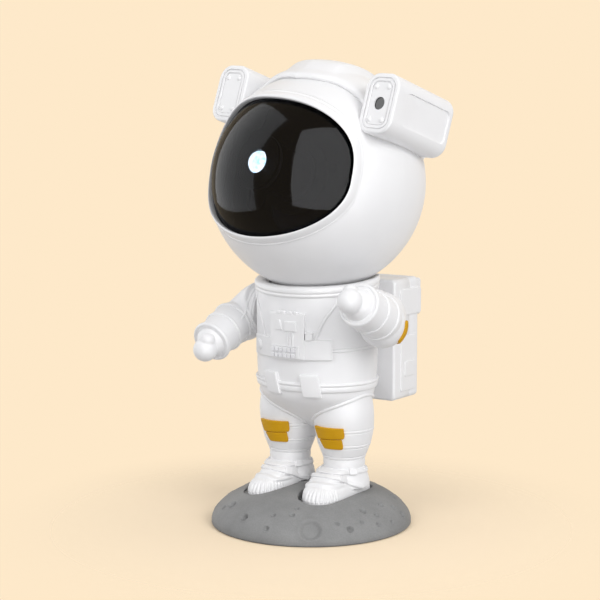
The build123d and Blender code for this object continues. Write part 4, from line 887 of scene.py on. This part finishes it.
def on_torso(turn, z, lift=0.0):
    """Points on the torso's skin: turn in radians from the front towards +X."""
    turn, z = np.broadcast_arrays(np.asarray(turn, float), np.asarray(z, float))
    c, s = np.cos(turn), np.sin(turn)
    half_w, half_d = spline(z, TORSO_Z, TORSO_W) + lift, spline(z, TORSO_Z, TORSO_D) + lift
    reach = 1 / np.sqrt((s / half_w) ** 2 + (c / half_d) ** 2)
    return np.column_stack([reach * s, FIG_Y - reach * c, z])


def torso_outwards(turn, z):
    near, far = on_torso(turn, z), on_torso(turn, z, 1.0)
    out = far - near
    return out / np.linalg.norm(out, axis=1)[:, None]


def patch_at(middle_turn):
    """Surface for pads on the torso: u along the skin from the given turn, v a height."""
    def surface(u, v, lift):
        return on_torso(math.radians(middle_turn) + u / SKIN_R, v, lift)
    return surface


def torso():
    turn = whole_turn(200)
    rings = []
    shares = (np.linspace(0, 0.38, 30), np.linspace(0.38, 0.48, 60)[1:], np.linspace(0.48, 1, 50)[1:])
    for share in np.concatenate(shares):
        flat = on_torso(turn, 64.0)
        top = COLLAR_Z + (flat[:, 1] - FIG_Y) * COLLAR_TILT
        z = TORSO_LOW + share * (top - TORSO_LOW)
        level = TORSO_LOW + share * (COLLAR_Z - TORSO_LOW)
        offset = banded(np.full(200, level), ((89.0, 0.7),))
        rings.append(on_torso(turn, z, offset))
    for drop in (0.0, 9.0, 20.0):
        hole = np.column_stack([NECK_R * np.sin(turn), FIG_Y - NECK_R * np.cos(turn), np.zeros(200)])
        hole[:, 2] = np.maximum(COLLAR_Z + (hole[:, 1] - FIG_Y) * COLLAR_TILT - drop, NECK_FLOOR)
        rings.append(hole)
    add_suit("suit_torso", loft(rings), ["torso_front", "torso_back"], 50)


def armhole_pipings():
    """Raised seams from the collar past each arm down to the chest band, and on to the back."""
    heights = np.linspace(93.0, 116.0, 60)
    for side in (-1, 1):
        turns = np.radians(spline(heights, (93, 97, 103, 110, 116), (32, 35, 41, 51.5, 62)))
        parts = []
        for turn in (side * turns, side * (np.pi - turns)):
            parts.append(strap(on_torso(turn, heights), torso_outwards(turn, heights), 1.5, 1.0, power=2.0))
        add_suit(SIDE_NAMES[side] + "_armhole_piping", join_parts(parts))


def belt():
    turn = whole_turn(220)
    section = (
        (67.9, -0.5), (67.95, 0.5), (68.2, 0.85), (68.7, 1.0), (70.4, 1.0), (70.65, 0.85), (70.8, 0.7),
        (70.95, 0.9), (71.2, 1.15), (71.6, 1.3), (72.0, 1.2), (72.3, 0.95), (72.45, 0.55), (72.5, -0.5),
        (70.2, -0.9),
    )
    parts = [tube_loop([on_torso(turn, np.full(220, z), lift) for z, lift in section])]
    for turn_at, width, z0, z1, shift in ((25.2, 9.8, 65.7, 76.6, 1.9), (-21.2, 8.9, 66.3, 77.0, 2.0)):
        corners = ((width / 2, z1), (-width / 2, z1), (-width / 2 + shift, z0), (width / 2 + shift, z0))
        parts.append(pad(patch_at(turn_at), polygon_outline(corners, 0.9), 2.0, 0.5))
    add_suit("suit_belt", join_parts(parts), ["belt"], 45)


UNIT_TURN = 1.7
PLATE_PROUD = 1.5
UNIT_PROUD = 2.3
# degrees from key to key, height of the lower row, height from row to row
KEY_STEP, KEY_LOW, KEY_RISE = 4.66, 85.75, 2.8


def box_outline(x, z, width, height, corner=0.3):
    def outline(inset):
        return rounded_outline(width, height, corner, inset) + (x, z)
    return outline


def chest():
    """T-shaped control plate: band, upright unit and the marks on it."""
    arc = math.radians(1) * SKIN_R
    band = patch_at(0)
    parts = [
        pad(band, box_outline(0, 88.8, 96 * arc, 9.7, 0.5), PLATE_PROUD, 0.35, inner=24),
        pad(band, box_outline(47.3 * arc, 88.8, 0.8, 9.2, 0.2), PLATE_PROUD + 0.3, 0.2, sunk=-0.8),
    ]
    for size, proud in ((2.7, 0.45), (2.1, 0.8)):
        disc = box_outline(-38.8 * arc, 89.0, 2 * size, 2 * size, size)
        parts.append(pad(band, disc, PLATE_PROUD + proud, 0.3, sunk=-0.8))
    parts.append(pad(band, box_outline(25.8 * arc, 95.2, 3.4, 3.6, 0.5), 2.3, 0.4))
    parts.append(pad(band, box_outline(25.8 * arc, 97.0, 3.9, 0.9, 0.35), 2.5, 0.3))
    unit = patch_at(UNIT_TURN)
    parts.append(pad(unit, box_outline(0, 95.0, 39.5 * arc, 22.0, 0.4), UNIT_PROUD, 0.35, inner=16))

    def mark(turn, z, width, height, proud=0.85, corner=0.25, edge=0.25):
        outline = box_outline((turn - UNIT_TURN) * arc, z, width, height, corner)
        parts.append(pad(unit, outline, UNIT_PROUD + proud, edge, sunk=-1.2))

    mark(7.5, 99.85, 6.3, 4.6)
    for turn in (4.9, 7.3, 9.7):
        mark(turn, 93.6, 0.7, 7.2, 0.6)
    mark(15.4, 87.3, 1.5, 5.6)
    mark(0.6, 90.3, 15.6, 0.5, 0.4)
    for turn, width in ((-6.5, 2.3), (-1.6, 2.3), (7.2, 2.2), (12.6, 2.2)):
        mark(turn, 106.2, width, 1.6, 0.2, 0.5, 0.4)
    triangle = polygon_outline(((-2.2, 97.9), (2.2, 97.9), (0.6, 102.6), (-0.6, 102.6)), 0.4)
    shift = (-5.5 - UNIT_TURN) * arc
    parts.append(pad(unit, lambda inset: triangle(inset) + (shift, 0), UNIT_PROUD + 0.6, 0.25, sunk=-1.2))
    add_suit("chest_controls", join_parts(parts), ["chest_plate", "chest_unit"], 40)
    keys = []
    for row in range(2):
        for column in range(6):
            x = (-12.7 + KEY_STEP * column - UNIT_TURN) * arc
            outline = box_outline(x, KEY_LOW + KEY_RISE * row, 1.75, 1.95)
            keys.append(pad(unit, outline, UNIT_PROUD + 1.0, 0.25, sunk=-1.2))
    mesh = make_mesh("keys", *join_parts(keys), sharp=40)
    add_piece("chest_keypad", mesh, "figure", BUTTON, "button_white", ["chest_keys"])


COLLAR_CLEAR = HEAD_R + 1.15
COLLAR_HALF_W, COLLAR_HALF_D, COLLAR_HOLE_R = 30.6, 26.2, 23.4


def collar():
    """Rolled neck ring in a tilted plane, with a thin lip below; it clears the head."""
    turn = whole_turn(220)
    section = (
        (0.2, -1.0), (0.75, -0.95), (1.0, -0.6), (1.0, 0.0), (0.75, 0.35), (0.7, 0.5),
        (1.05, 0.8), (1.3, 1.5), (1.3, 2.4), (1.1, 3.1), (0.6, 3.6), (-0.3, 3.85),
        (-2.0, 3.9), (-4.5, 3.9), (-7.6, 3.9), (-7.6, 1.0), (-3.0, -1.0),
    )
    rings = []
    for lift, height in section:
        half_w, half_d = COLLAR_HALF_W + lift, COLLAR_HALF_D + lift
        if lift < -7:
            half_w = half_d = COLLAR_HOLE_R
        ring = np.column_stack([half_w * np.sin(turn), FIG_Y - half_d * np.cos(turn), np.zeros(220)])
        ring[:, 2] = COLLAR_Z + height + (ring[:, 1] - FIG_Y) * COLLAR_TILT
        reach = np.hypot(ring[:, 0], ring[:, 1] - FIG_Y)
        ring[:, 2] = np.minimum(ring[:, 2], HEAD_CENTRE[2] - np.sqrt(COLLAR_CLEAR ** 2 - reach ** 2))
        rings.append(ring)
    mesh = make_mesh("collar", *tube_loop(rings), sharp=45)
    add_piece("neck_collar", mesh, "figure", WHITE, "white_shell", ["collar"])


# --- Arms ---
SHOULDER_X = 37.3
ELBOW_POINT = np.array([42.2, -6.0, -5.6])
CUFF_POINT = np.array([44.0, -32.6, -1.1])
ARM_WAY = np.array([0, -math.cos(math.radians(7)), math.sin(math.radians(7))])
ARM_UP = np.array([0, math.sin(math.radians(7)), math.cos(math.radians(7))])
ARM_FLAT = 31.75
# side: rise of the forearm in degrees, drop of the shoulder's ball
ARM_POSES = {1: (17.0, 1.0), -1: (-29.0, 2.8)}
ELBOW_PAD_R = 11.05
ELBOW_TURN_R = 11.5
# share of the length, radius
FOREARM = ((0, 7.5), (0.1, 9.6), (0.22, 10.7), (0.5, 10.4), (0.9, 9.3), (1, 8.9))
WRIST = ((0, 8.0), (0.45, 7.7), (0.75, 6.6), (1, 4.8))


def arm_parts(drop):
    """Left arm at zero rise about its shoulder, whose ball sits lower by drop: sleeve, pipings, glove."""
    shoulder = np.array([SHOULDER_X, 0, -drop])
    sleeve = fuse(
        [
            rod((ARM_FLAT, 0, 0), shoulder, ((0, 11.5), (0.1, 11.9), (1, 11.7))),
            ball(11.6, shoulder),
            ball(11.2, ELBOW_POINT),
            rod(shoulder, ELBOW_POINT, ((0, 11.6), (1, 11.2))),
            rod(CUFF_POINT - 27 * ARM_WAY, CUFF_POINT, FOREARM),
        ],
        0.42,
        5,
    )
    points = coords(sleeve)
    points[:, 0] = np.maximum(points[:, 0], ARM_FLAT)
    set_coords(sleeve, points)
    tree = tree_of(sleeve)
    trims = []

    def ring(centre, way, width, thick, sink=0.35, hint=(1, 0, 0)):
        """Piping round the sleeve in the plane square to a direction."""
        side, up = frame_along(way, hint)
        path, outs = [], []
        for turn in whole_turn(80):
            out = math.cos(turn) * side + math.sin(turn) * up
            spot, normal = land(tree, centre + 30 * out, centre)
            path.append(spot)
            outs.append(normal)
        path = smoothed(np.array(path), 3, closed=True)
        trims.append(strap(path, outs, width, thick, closed=True, power=2.0, sink=sink))

    ring(CUFF_POINT - 1.1 * ARM_WAY, ARM_WAY, 2.5, 1.9, 0.5)
    ring(CUFF_POINT - 11.0 * ARM_WAY, ARM_WAY, 1.7, 1.0)
    ring(CUFF_POINT - 19.5 * ARM_WAY, ARM_WAY, 1.7, 1.0)
    ring(np.array([34.8, 0, -drop / 2]), np.array([1.0, 0, 0]), 1.2, 0.65, hint=(0, 0, 1))
    ring(np.array([33.0, 0, 0]), np.array([1.0, 0, 0]), 1.5, 0.75, hint=(0, 0, 1))
    fist = CUFF_POINT + 6.4 * ARM_WAY + (-1.0, 0, 0)
    thumb = fist - 1.4 * ARM_WAY + 4.3 * ARM_UP + (-1.8, 0, 0)
    glove = fuse(
        [
            ball(5.9, fist - 0.5 * ARM_UP),
            ball(3.6, thumb),
            rod(fist - 3 * ARM_WAY, fist, ((0, 4.9), (1, 4.9))),
            rod(CUFF_POINT - 3 * ARM_WAY, CUFF_POINT + 4.2 * ARM_WAY, WRIST),
        ],
        0.3,
        8,
    )
    return sleeve, make_mesh("trims", *join_parts(trims), sharp=60), glove


def elbow_pad():
    def surface(u, v, lift):
        reach = ELBOW_PAD_R + lift
        tilt, turn = v / ELBOW_TURN_R, u / ELBOW_TURN_R
        x = ELBOW_POINT[0] + reach * np.cos(tilt) * np.sin(turn)
        y = ELBOW_POINT[1] + reach * np.cos(tilt) * np.cos(turn)
        return np.column_stack([x, y, ELBOW_POINT[2] + reach * np.sin(tilt)])
    return pad(surface, box_outline(9.0, -2.3, 15.0, 11.5, 2.0), 1.0, 0.5)


def arms():
    patch = make_mesh("patch", *elbow_pad(), sharp=60)
    for side in (1, -1):
        name = SIDE_NAMES[side]
        rise, drop = ARM_POSES[side]
        sleeve, trims, glove = arm_parts(drop)
        place = Matrix.Translation((0, FIG_Y, SHOULDER[2])) @ Matrix.Rotation(math.radians(-rise), 4, "X")
        place = place @ Matrix.Diagonal((side, 1, 1, 1))
        wear = (
            ("_sleeve", sleeve, SUIT, "white_shell", [name + "_arm"]),
            ("_sleeve_piping", trims, SUIT, "white_shell", []),
            ("_glove", glove, SUIT, "white_shell", []),
            ("_elbow_pad", patch, GOLD, "patch_gold", [name + "_elbow_patch"]),
        )
        for ending, source, material, slot, nodes in wear:
            mesh = source.copy()
            set_coords(mesh, moved(coords(mesh), place))
            if side < 0:
                mesh.flip_normals()
            finish_shading(mesh, 60)
            add_piece(name + ending, mesh, name + "_arm", material, slot, nodes)


# --- Backpack ---
PACK_HALF = 29.5
PACK_LOW, PACK_TOP = low("backpack_front")[2], high("backpack_front")[2]
PACK_FRONT, PACK_SPLIT, PACK_BACK = 29.5, 44.0, 52.5
PACK_MID = (PACK_LOW + PACK_TOP) / 2
HATCH_LOW, HATCH_TOP, HATCH_BACK = 99.0, 117.4, 55.9
PACK_CORNER, PACK_EDGE = 2.4, 1.4


def upright(ys, insets, width, height, corner, mid_z, mid_x=0.0, straight=16, arc=8):
    """Loft of rounded rectangles standing square to Y."""
    rings = []
    for y, inset in zip(ys, insets):
        flat = rounded_outline(width, height, corner, inset, straight, arc)
        rings.append(np.column_stack([flat[:, 0] + mid_x, np.full(len(flat), y), flat[:, 1] + mid_z]))
    return loft(rings)


def edge_steps(y, radius, way):
    """Places and insets of a rounded edge that ends a box at y."""
    turn = np.radians((90, 72, 54, 36, 18, 0))
    ys = y + way * radius * (1 - np.sin(turn))
    return list(ys), list(radius * (1 - np.cos(turn)))


def backpack():
    width = 2 * PACK_HALF
    size = (width, PACK_TOP - PACK_LOW, PACK_CORNER, PACK_MID)
    ys, insets = edge_steps(PACK_FRONT, PACK_EDGE, 1)
    front = upright(ys + [PACK_SPLIT - 0.2, PACK_SPLIT - 0.02], insets + [0, 0.15], *size)
    ys, insets = edge_steps(PACK_BACK, PACK_EDGE, -1)
    rear = upright([PACK_SPLIT + 0.02, PACK_SPLIT + 0.2] + ys[::-1], [0.15, 0] + insets[::-1], *size)
    ys, insets = edge_steps(HATCH_BACK, PACK_EDGE, -1)
    hatch_mid = (HATCH_LOW + HATCH_TOP) / 2
    hatch = upright(
        [PACK_SPLIT + 2] + ys[::-1], [0] + insets[::-1],
        width - 0.6, HATCH_TOP - HATCH_LOW, PACK_EDGE, hatch_mid,
    )
    lower = upright([PACK_BACK - 1, PACK_BACK + 0.5, PACK_BACK + 0.9], [0, 0, 0.4], 44, 28.0, 2.5, 75.9)
    rears = [rear, hatch, lower]
    for side in (-1, 1):
        def surface(u, v, lift):
            return np.column_stack([np.full(len(u), side * (PACK_HALF + lift)), u, v])
        # middle y, middle z, width, height, corner, how far it stands out
        for y, z, panel_w, panel_h, corner, proud in (
            (44.15, 106.6, 19.7, 13.2, 1.6, 0.75),
            (42.5, 75.9, 15.0, 27.8, 1.2, 0.6),
            (43.0, 73.2, 10.0, 7.8, 1.4, 1.1),
        ):
            rears.append(pad(surface, box_outline(y, z, panel_w, panel_h, corner), proud, 0.45))
    for half, parts in (("front", front), ("rear", join_parts(rears))):
        mesh = make_mesh("pack", *parts, sharp=50)
        add_piece(f"pack_{half}_half", mesh, "figure", WHITE, stands_for=["backpack_" + half])


# --- Head ---
OPEN_HALF_W, OPEN_UP, OPEN_MID_Z = 45.1, 32.6, -2.9
RIM_SIDE, RIM_TOP, RIM_LOW = 1.9, 5.0, 3.6


def add_head_piece(name, parts, material=WHITE, slot="white_shell", nodes=(), sharp=45):
    points, faces = parts
    mesh = make_mesh(name, moved(points, HEAD), faces, sharp)
    return add_piece(name, mesh, "head", material, slot, nodes)


def opening(side, top, bottom):
    """Outline of the visor opening grown by the given widths, as x and z."""
    turn = whole_turn(240)
    c, s = np.cos(turn), np.sin(turn)
    power = np.where(s > 0, 2.55, 2.0)
    reach = np.where(s > 0, OPEN_UP + top, OPEN_UP + bottom)
    x = (OPEN_HALF_W + side) * squarer(c, power)
    return np.column_stack([x, OPEN_MID_Z + reach * squarer(s, power)])


def visor_lip():
    """Half-round lip around the visor, a fine groove outside it and a level border."""
    inner = opening(0, 0, 0)
    outer = opening(RIM_SIDE, RIM_TOP, RIM_LOW)
    section = (
        (0.0, -3.4), (0.0, -0.4), (0.03, 0.2), (0.08, 0.6), (0.17, 0.88), (0.32, 1.0),
        (0.46, 0.9), (0.58, 0.66), (0.67, 0.36), (0.73, 0.1), (0.76, -0.12), (0.79, -0.15),
        (0.82, -0.06), (0.85, 0.03), (1.0, 0.03), (1.0, -1.2), (0.9, -3.4),
    )
    rings = []
    for share, lift in section:
        flat = inner + (outer - inner) * share
        reach = HEAD_R + lift
        y = -np.sqrt(np.maximum(reach ** 2 - (flat ** 2).sum(1), 0))
        rings.append(np.column_stack([flat[:, 0], y, flat[:, 1]]))
    add_head_piece("visor_lip", tube_loop(rings), nodes=["visor_rim"], sharp=60)


LENS_R, LENS_DEPTH, LENS_PROUD = 5.5, 5.5, 3.7
BEZEL_IN, BEZEL_OUT = 12.5, 13.5


def lens_front():
    """Lit dome of the projection lens and the ring around its barrel; the ring's pinkish grey is a painted
    reflection on black plastic.
    """
    middle = (low("projection_lens") + high("projection_lens")) / 2
    x, y, z = moved([middle], HEAD.inverted())[0]
    face = y - LENS_DEPTH / 2
    profile = ((0, 1.0), (0.4, 1.0), (0.6, 0.95), (0.76, 0.82), (0.88, 0.62), (0.96, 0.36), (1, 0.05))
    radii = [(share, LENS_R * radius) for share, radius in profile]
    dome = rod((x, face + 3.5, z), (x, face - LENS_PROUD, z), radii)
    add_head_piece("lens_dome", dome, GLOW, "lens_clear", ["projection_lens"])
    section = (
        (BEZEL_IN, 1.6), (BEZEL_IN, 0.9), (BEZEL_IN + 0.2, 0.6),
        (BEZEL_OUT - 0.2, 0.6), (BEZEL_OUT, 0.9), (BEZEL_OUT, 1.6),
    )
    turn = whole_turn(96)
    rings = [
        np.column_stack([x + radius * np.cos(turn), np.full(96, face + back), z + radius * np.sin(turn)])
        for radius, back in section
    ]
    add_head_piece("lens_bezel", tube_loop(rings), BEZEL_PAINTED_REFLECTION, "black_plastic")


HOOD_HALF = 38.0
HOOD_R, RIDGE_R = 55.7, 58.98
RIDGE_HALF, RIDGE_FOOT = 13.2, 18.6
# distances from the middle, and the degrees forward of the top that the hood reaches there
HOOD_EDGE = ((0, 10, 20, 27, 33, HOOD_HALF), (34.4, 31.6, 27.8, 26.6, 27.0, 31.0))
# degrees ahead of that edge, share of the hood's thickness
HOOD_ROLL = (
    (1.3, 0.0), (1.9, 0.12), (2.2, 0.3), (2.1, 0.5), (1.6, 0.7), (0.9, 0.86), (-0.1, 0.96), (-1.4, 0.995),
)


def hood():
    """Band over the head from lamp box to lamp box: a soft front edge, a raised ridge along its middle."""
    rings = []
    xs = (np.linspace(-HOOD_HALF, -20, 30), np.linspace(-19.6, 19.6, 80), np.linspace(20, HOOD_HALF, 30))
    for x in np.concatenate(xs):
        ridge = 1 - step(abs(x), RIDGE_HALF, RIDGE_FOOT)
        foot = HEAD_R + 0.02
        edge = float(spline(abs(x), *HOOD_EDGE))
        back = 52 + 4 * ridge
        path = [(edge + ahead, foot + share * (HOOD_R - foot)) for ahead, share in HOOD_ROLL]
        for angle in np.linspace(edge - 3, -back + 4.5, 60):
            rise = ridge * step(edge - angle, 2.0, 13.0)
            path.append((angle, HOOD_R + (RIDGE_R - HOOD_R) * rise))
        top = path[-1][1]
        path += [(-back + 2.6, foot + 0.95 * (top - foot)), (-back + 1.2, foot + 0.75 * (top - foot))]
        path += [(-back + 0.3, foot + 0.4 * (top - foot)), (-back, foot)]
        path += [(angle, foot) for angle in np.linspace(-back + 3, edge + 3, 30)]
        ring = []
        for angle, reach in path:
            flat = math.sqrt(reach ** 2 - x ** 2)
            ring.append((x, -flat * math.sin(math.radians(angle)), flat * math.cos(math.radians(angle))))
        rings.append(ring)
    add_head_piece("head_hood", loft(rings), nodes=["hood"], sharp=60)


LAMP_X = 47.9
LAMP_MID_Z = 35.2
LAMP_W, LAMP_H, LAMP_ROUND = 19.5, 28.6, 7.0
LAMP_FRONT, LAMP_BACK = -24.6, 20.0
# the front plate's grooves: distance behind its front, distance in from the box's outline
LAMP_FRAME = (
    (1.1, 0.0), (0.5, 0.15), (0.15, 0.5), (0.0, 1.1), (0.0, 2.05), (0.12, 2.15), (0.7, 2.2),
    (0.7, 2.55), (0.25, 2.6), (0.1, 2.75), (0.1, 3.75), (0.25, 3.9), (0.75, 3.95), (0.8, 4.25),
    (0.45, 4.4), (0.4, 4.7), (0.4, 6.4),
)
# share of the length, radius
RIVET = ((0, 1.25), (0.35, 1.2), (0.65, 1.0), (0.88, 0.6), (1, 0.15))


def lamp_box(side):
    """Lamp pod: rounded box with a framed front plate, four rivets and a sunk outer side."""
    ys, insets = edge_steps(LAMP_BACK, 2.6, -1)
    ys += [LAMP_FRONT + back for back, _ in LAMP_FRAME]
    insets += [inset for _, inset in LAMP_FRAME]
    size = (LAMP_W, LAMP_H, LAMP_ROUND, LAMP_MID_Z)
    box = make_mesh("box", *upright(ys, insets, *size, side * LAMP_X, 14, 12))
    outer = side * (LAMP_X + LAMP_W / 2)
    recess = []
    for lift, grow, front in ((-0.8, 0.0, 1.7), (0.0, 0.25, 0.5), (1.5, 0.5, 0.0)):
        flat = rounded_outline(33.6 - front, 15.2, 2.5, -grow) + (-0.6 + front / 2, LAMP_MID_Z - 0.1)
        recess.append(np.column_stack([np.full(len(flat), outer + side * lift), flat[:, 0], flat[:, 1]]))
    tools = [loft(recess)]
    if side > 0:
        hole = ((0, 3.05), (0.55, 3.05), (0.62, 3.3), (1, 3.3))
        tools.append(rod((LAMP_X, LAMP_FRONT + 2.4, LAMP_MID_Z), (LAMP_X, LAMP_FRONT - 2, LAMP_MID_Z), hole))
    box = cut(box, tools)
    name = SIDE_NAMES[side]
    set_coords(box, moved(coords(box), HEAD))
    finish_shading(box, 35)
    nodes = [name + "_lamp_housing", name + "_lamp_cap"]
    add_piece(name + "_lamp_pod", keep_flats(box), "head", WHITE, stands_for=nodes)
    rivets = []
    for dx in (-3.6, 3.6):
        for dz in (-7.8, 7.8):
            spot = np.array([side * LAMP_X + dx, LAMP_FRONT + 0.5, LAMP_MID_Z + dz])
            rivets.append(rod(spot, spot - (0, 0.85, 0), RIVET))
    add_head_piece(name + "_lamp_rivets", join_parts(rivets), sharp=60)


# --- Build ---
moon_base()
hips()
knee_pads()
for side in (-1, 1):
    boot(side)
    trouser_leg(side)
    thigh_piping(side)
    lamp_box(side)
torso()
armhole_pipings()
belt()
chest()
collar()
arms()
backpack()
visor_lip()
lens_front()
hood()

# --- Studio ---
PEACH = (0.99, 0.815, 0.59, 1)
SOFTBOX_REACH = 0.8
IMAGE_W = 600
LENS_PX = 1655
CAMERA_PLACE = (0.4457, -0.6607, 0.212)
CAMERA_TILT, CAMERA_TURN = 82.69, 34


def seen_directly(nodes, links):
    """1 for what the camera sees, also in mirrors and through clear pieces; else 0."""
    path = nodes.new("ShaderNodeLightPath")
    seen = path.outputs["Is Camera Ray"]
    for kind in ("Is Glossy Ray", "Is Transmission Ray"):
        either = nodes.new("ShaderNodeMath")
        either.operation = "MAXIMUM"
        links.new(seen, either.inputs[0])
        links.new(path.outputs[kind], either.inputs[1])
        seen = either.outputs[0]
    return seen


def studio_world():
    world = bpy.data.worlds.new("studio")
    world.use_nodes = True
    bpy.context.scene.world = world
    nodes, links = world.node_tree.nodes, world.node_tree.links
    soft = nodes["Background"]
    put(soft, Color=(0.98, 0.98, 1.0, 1), Strength=0.6)
    back = nodes.new("ShaderNodeBackground")
    put(back, Color=PEACH)
    blend = nodes.new("ShaderNodeMixShader")
    links.new(seen_directly(nodes, links), blend.inputs["Fac"])
    links.new(soft.outputs[0], blend.inputs[1])
    links.new(back.outputs[0], blend.inputs[2])
    links.new(blend.outputs[0], nodes["World Output"].inputs["Surface"])


def floor():
    """Disc that takes the soft shadow and fades into the backdrop's colour."""
    rings = [ring_xy(r, r, 0, count=96) for r in (5, 60, 150, 300, 600, 900)]
    points, faces = loft(rings)
    mesh = make_mesh("floor", points, [f for f in faces if not (max(f) == len(points) - 1)])
    material, nodes, links, shader = new_material("floor_peach")
    put(shader, Base_Color=(1.0, 0.83, 0.61, 1), Roughness=0.9, Specular_IOR_Level=0.0)
    grey = nodes.new("ShaderNodeBsdfDiffuse")
    put(grey, Color=(0.72, 0.7, 0.68, 1))
    clear = nodes.new("ShaderNodeBsdfTransparent")
    tint = nodes.new("ShaderNodeMixShader")
    links.new(seen_directly(nodes, links), tint.inputs["Fac"])
    links.new(grey.outputs[0], tint.inputs[1])
    links.new(shader.outputs[0], tint.inputs[2])
    place = nodes.new("ShaderNodeTexCoord")
    reach = nodes.new("ShaderNodeVectorMath")
    reach.operation = "LENGTH"
    links.new(place.outputs["Object"], reach.inputs[0])
    fade = nodes.new("ShaderNodeMapRange")
    fade.interpolation_type = "SMOOTHSTEP"
    put(fade, From_Min=0.05, From_Max=0.17)
    links.new(reach.outputs["Value"], fade.inputs["Value"])
    blend = nodes.new("ShaderNodeMixShader")
    links.new(fade.outputs["Result"], blend.inputs["Fac"])
    links.new(tint.outputs[0], blend.inputs[1])
    links.new(clear.outputs[0], blend.inputs[2])
    links.new(blend.outputs[0], nodes["Material Output"].inputs["Surface"])
    mesh.materials.append(material)
    linked("floor", mesh)


def softbox(name, facing, left, right, down, up, strength):
    """Tall panel beside the camera that only mirrors show; its edges are shares of its distance."""
    turn = math.radians(facing)
    way = np.array([math.sin(turn), -math.cos(turn), 0])
    across = np.array([math.cos(turn), math.sin(turn), 0])
    middle = HEAD_CENTRE * MM + SOFTBOX_REACH * way
    edges = ((left, down), (right, down), (right, up), (left, up))
    corners = [middle + SOFTBOX_REACH * (s * across + (0, 0, z)) for s, z in edges]
    mesh = bpy.data.meshes.new(name)
    mesh.from_pydata([tuple(corner) for corner in corners], [], [(0, 1, 2, 3)])
    material, nodes, links, _ = new_material(name)
    light = nodes.new("ShaderNodeEmission")
    put(light, Strength=strength)
    links.new(light.outputs[0], nodes["Material Output"].inputs["Surface"])
    mesh.materials.append(material)
    panel = linked(name, mesh)
    panel.visible_camera = panel.visible_diffuse = panel.visible_shadow = panel.visible_transmission = False


def area_light(name, place, target, size, power):
    light = bpy.data.lights.new(name, "AREA")
    light.shape = "RECTANGLE"
    light.size, light.size_y = size
    light.energy = power
    lamp = linked(name, light)
    lamp.visible_glossy = False
    lamp.location = place
    lamp.rotation_euler = (Vector(target) - Vector(place)).to_track_quat("-Z", "Y").to_euler()


def camera():
    lens = bpy.data.cameras.new("camera")
    lens.sensor_width = 36
    lens.lens = 36 * LENS_PX / IMAGE_W
    lens.shift_x = -0.019
    view = linked("camera", lens)
    view.location = CAMERA_PLACE
    view.rotation_euler = (math.radians(CAMERA_TILT), 0, math.radians(CAMERA_TURN))
    bpy.context.scene.camera = view


studio_world()
floor()
camera()
softbox("right_softbox", 43, -0.73, 0.9, -0.465, 1.95, 6.0)
softbox("left_softbox", -43, -2.36, 0.12, -0.41, 2.03, 3.4)
area_light("key", (0.85, -0.31, 0.6), (0, 0, 0.12), (0.5, 0.5), 4.8)
area_light("front", (-0.05, -0.8, 0.72), (0, 0, 0.12), (0.5, 0.5), 2.0)
area_light("top", (0.0, 0.05, 0.95), (0, 0, 0.1), (0.7, 0.7), 0.25)
bpy.context.scene.view_settings.view_transform = "Standard"
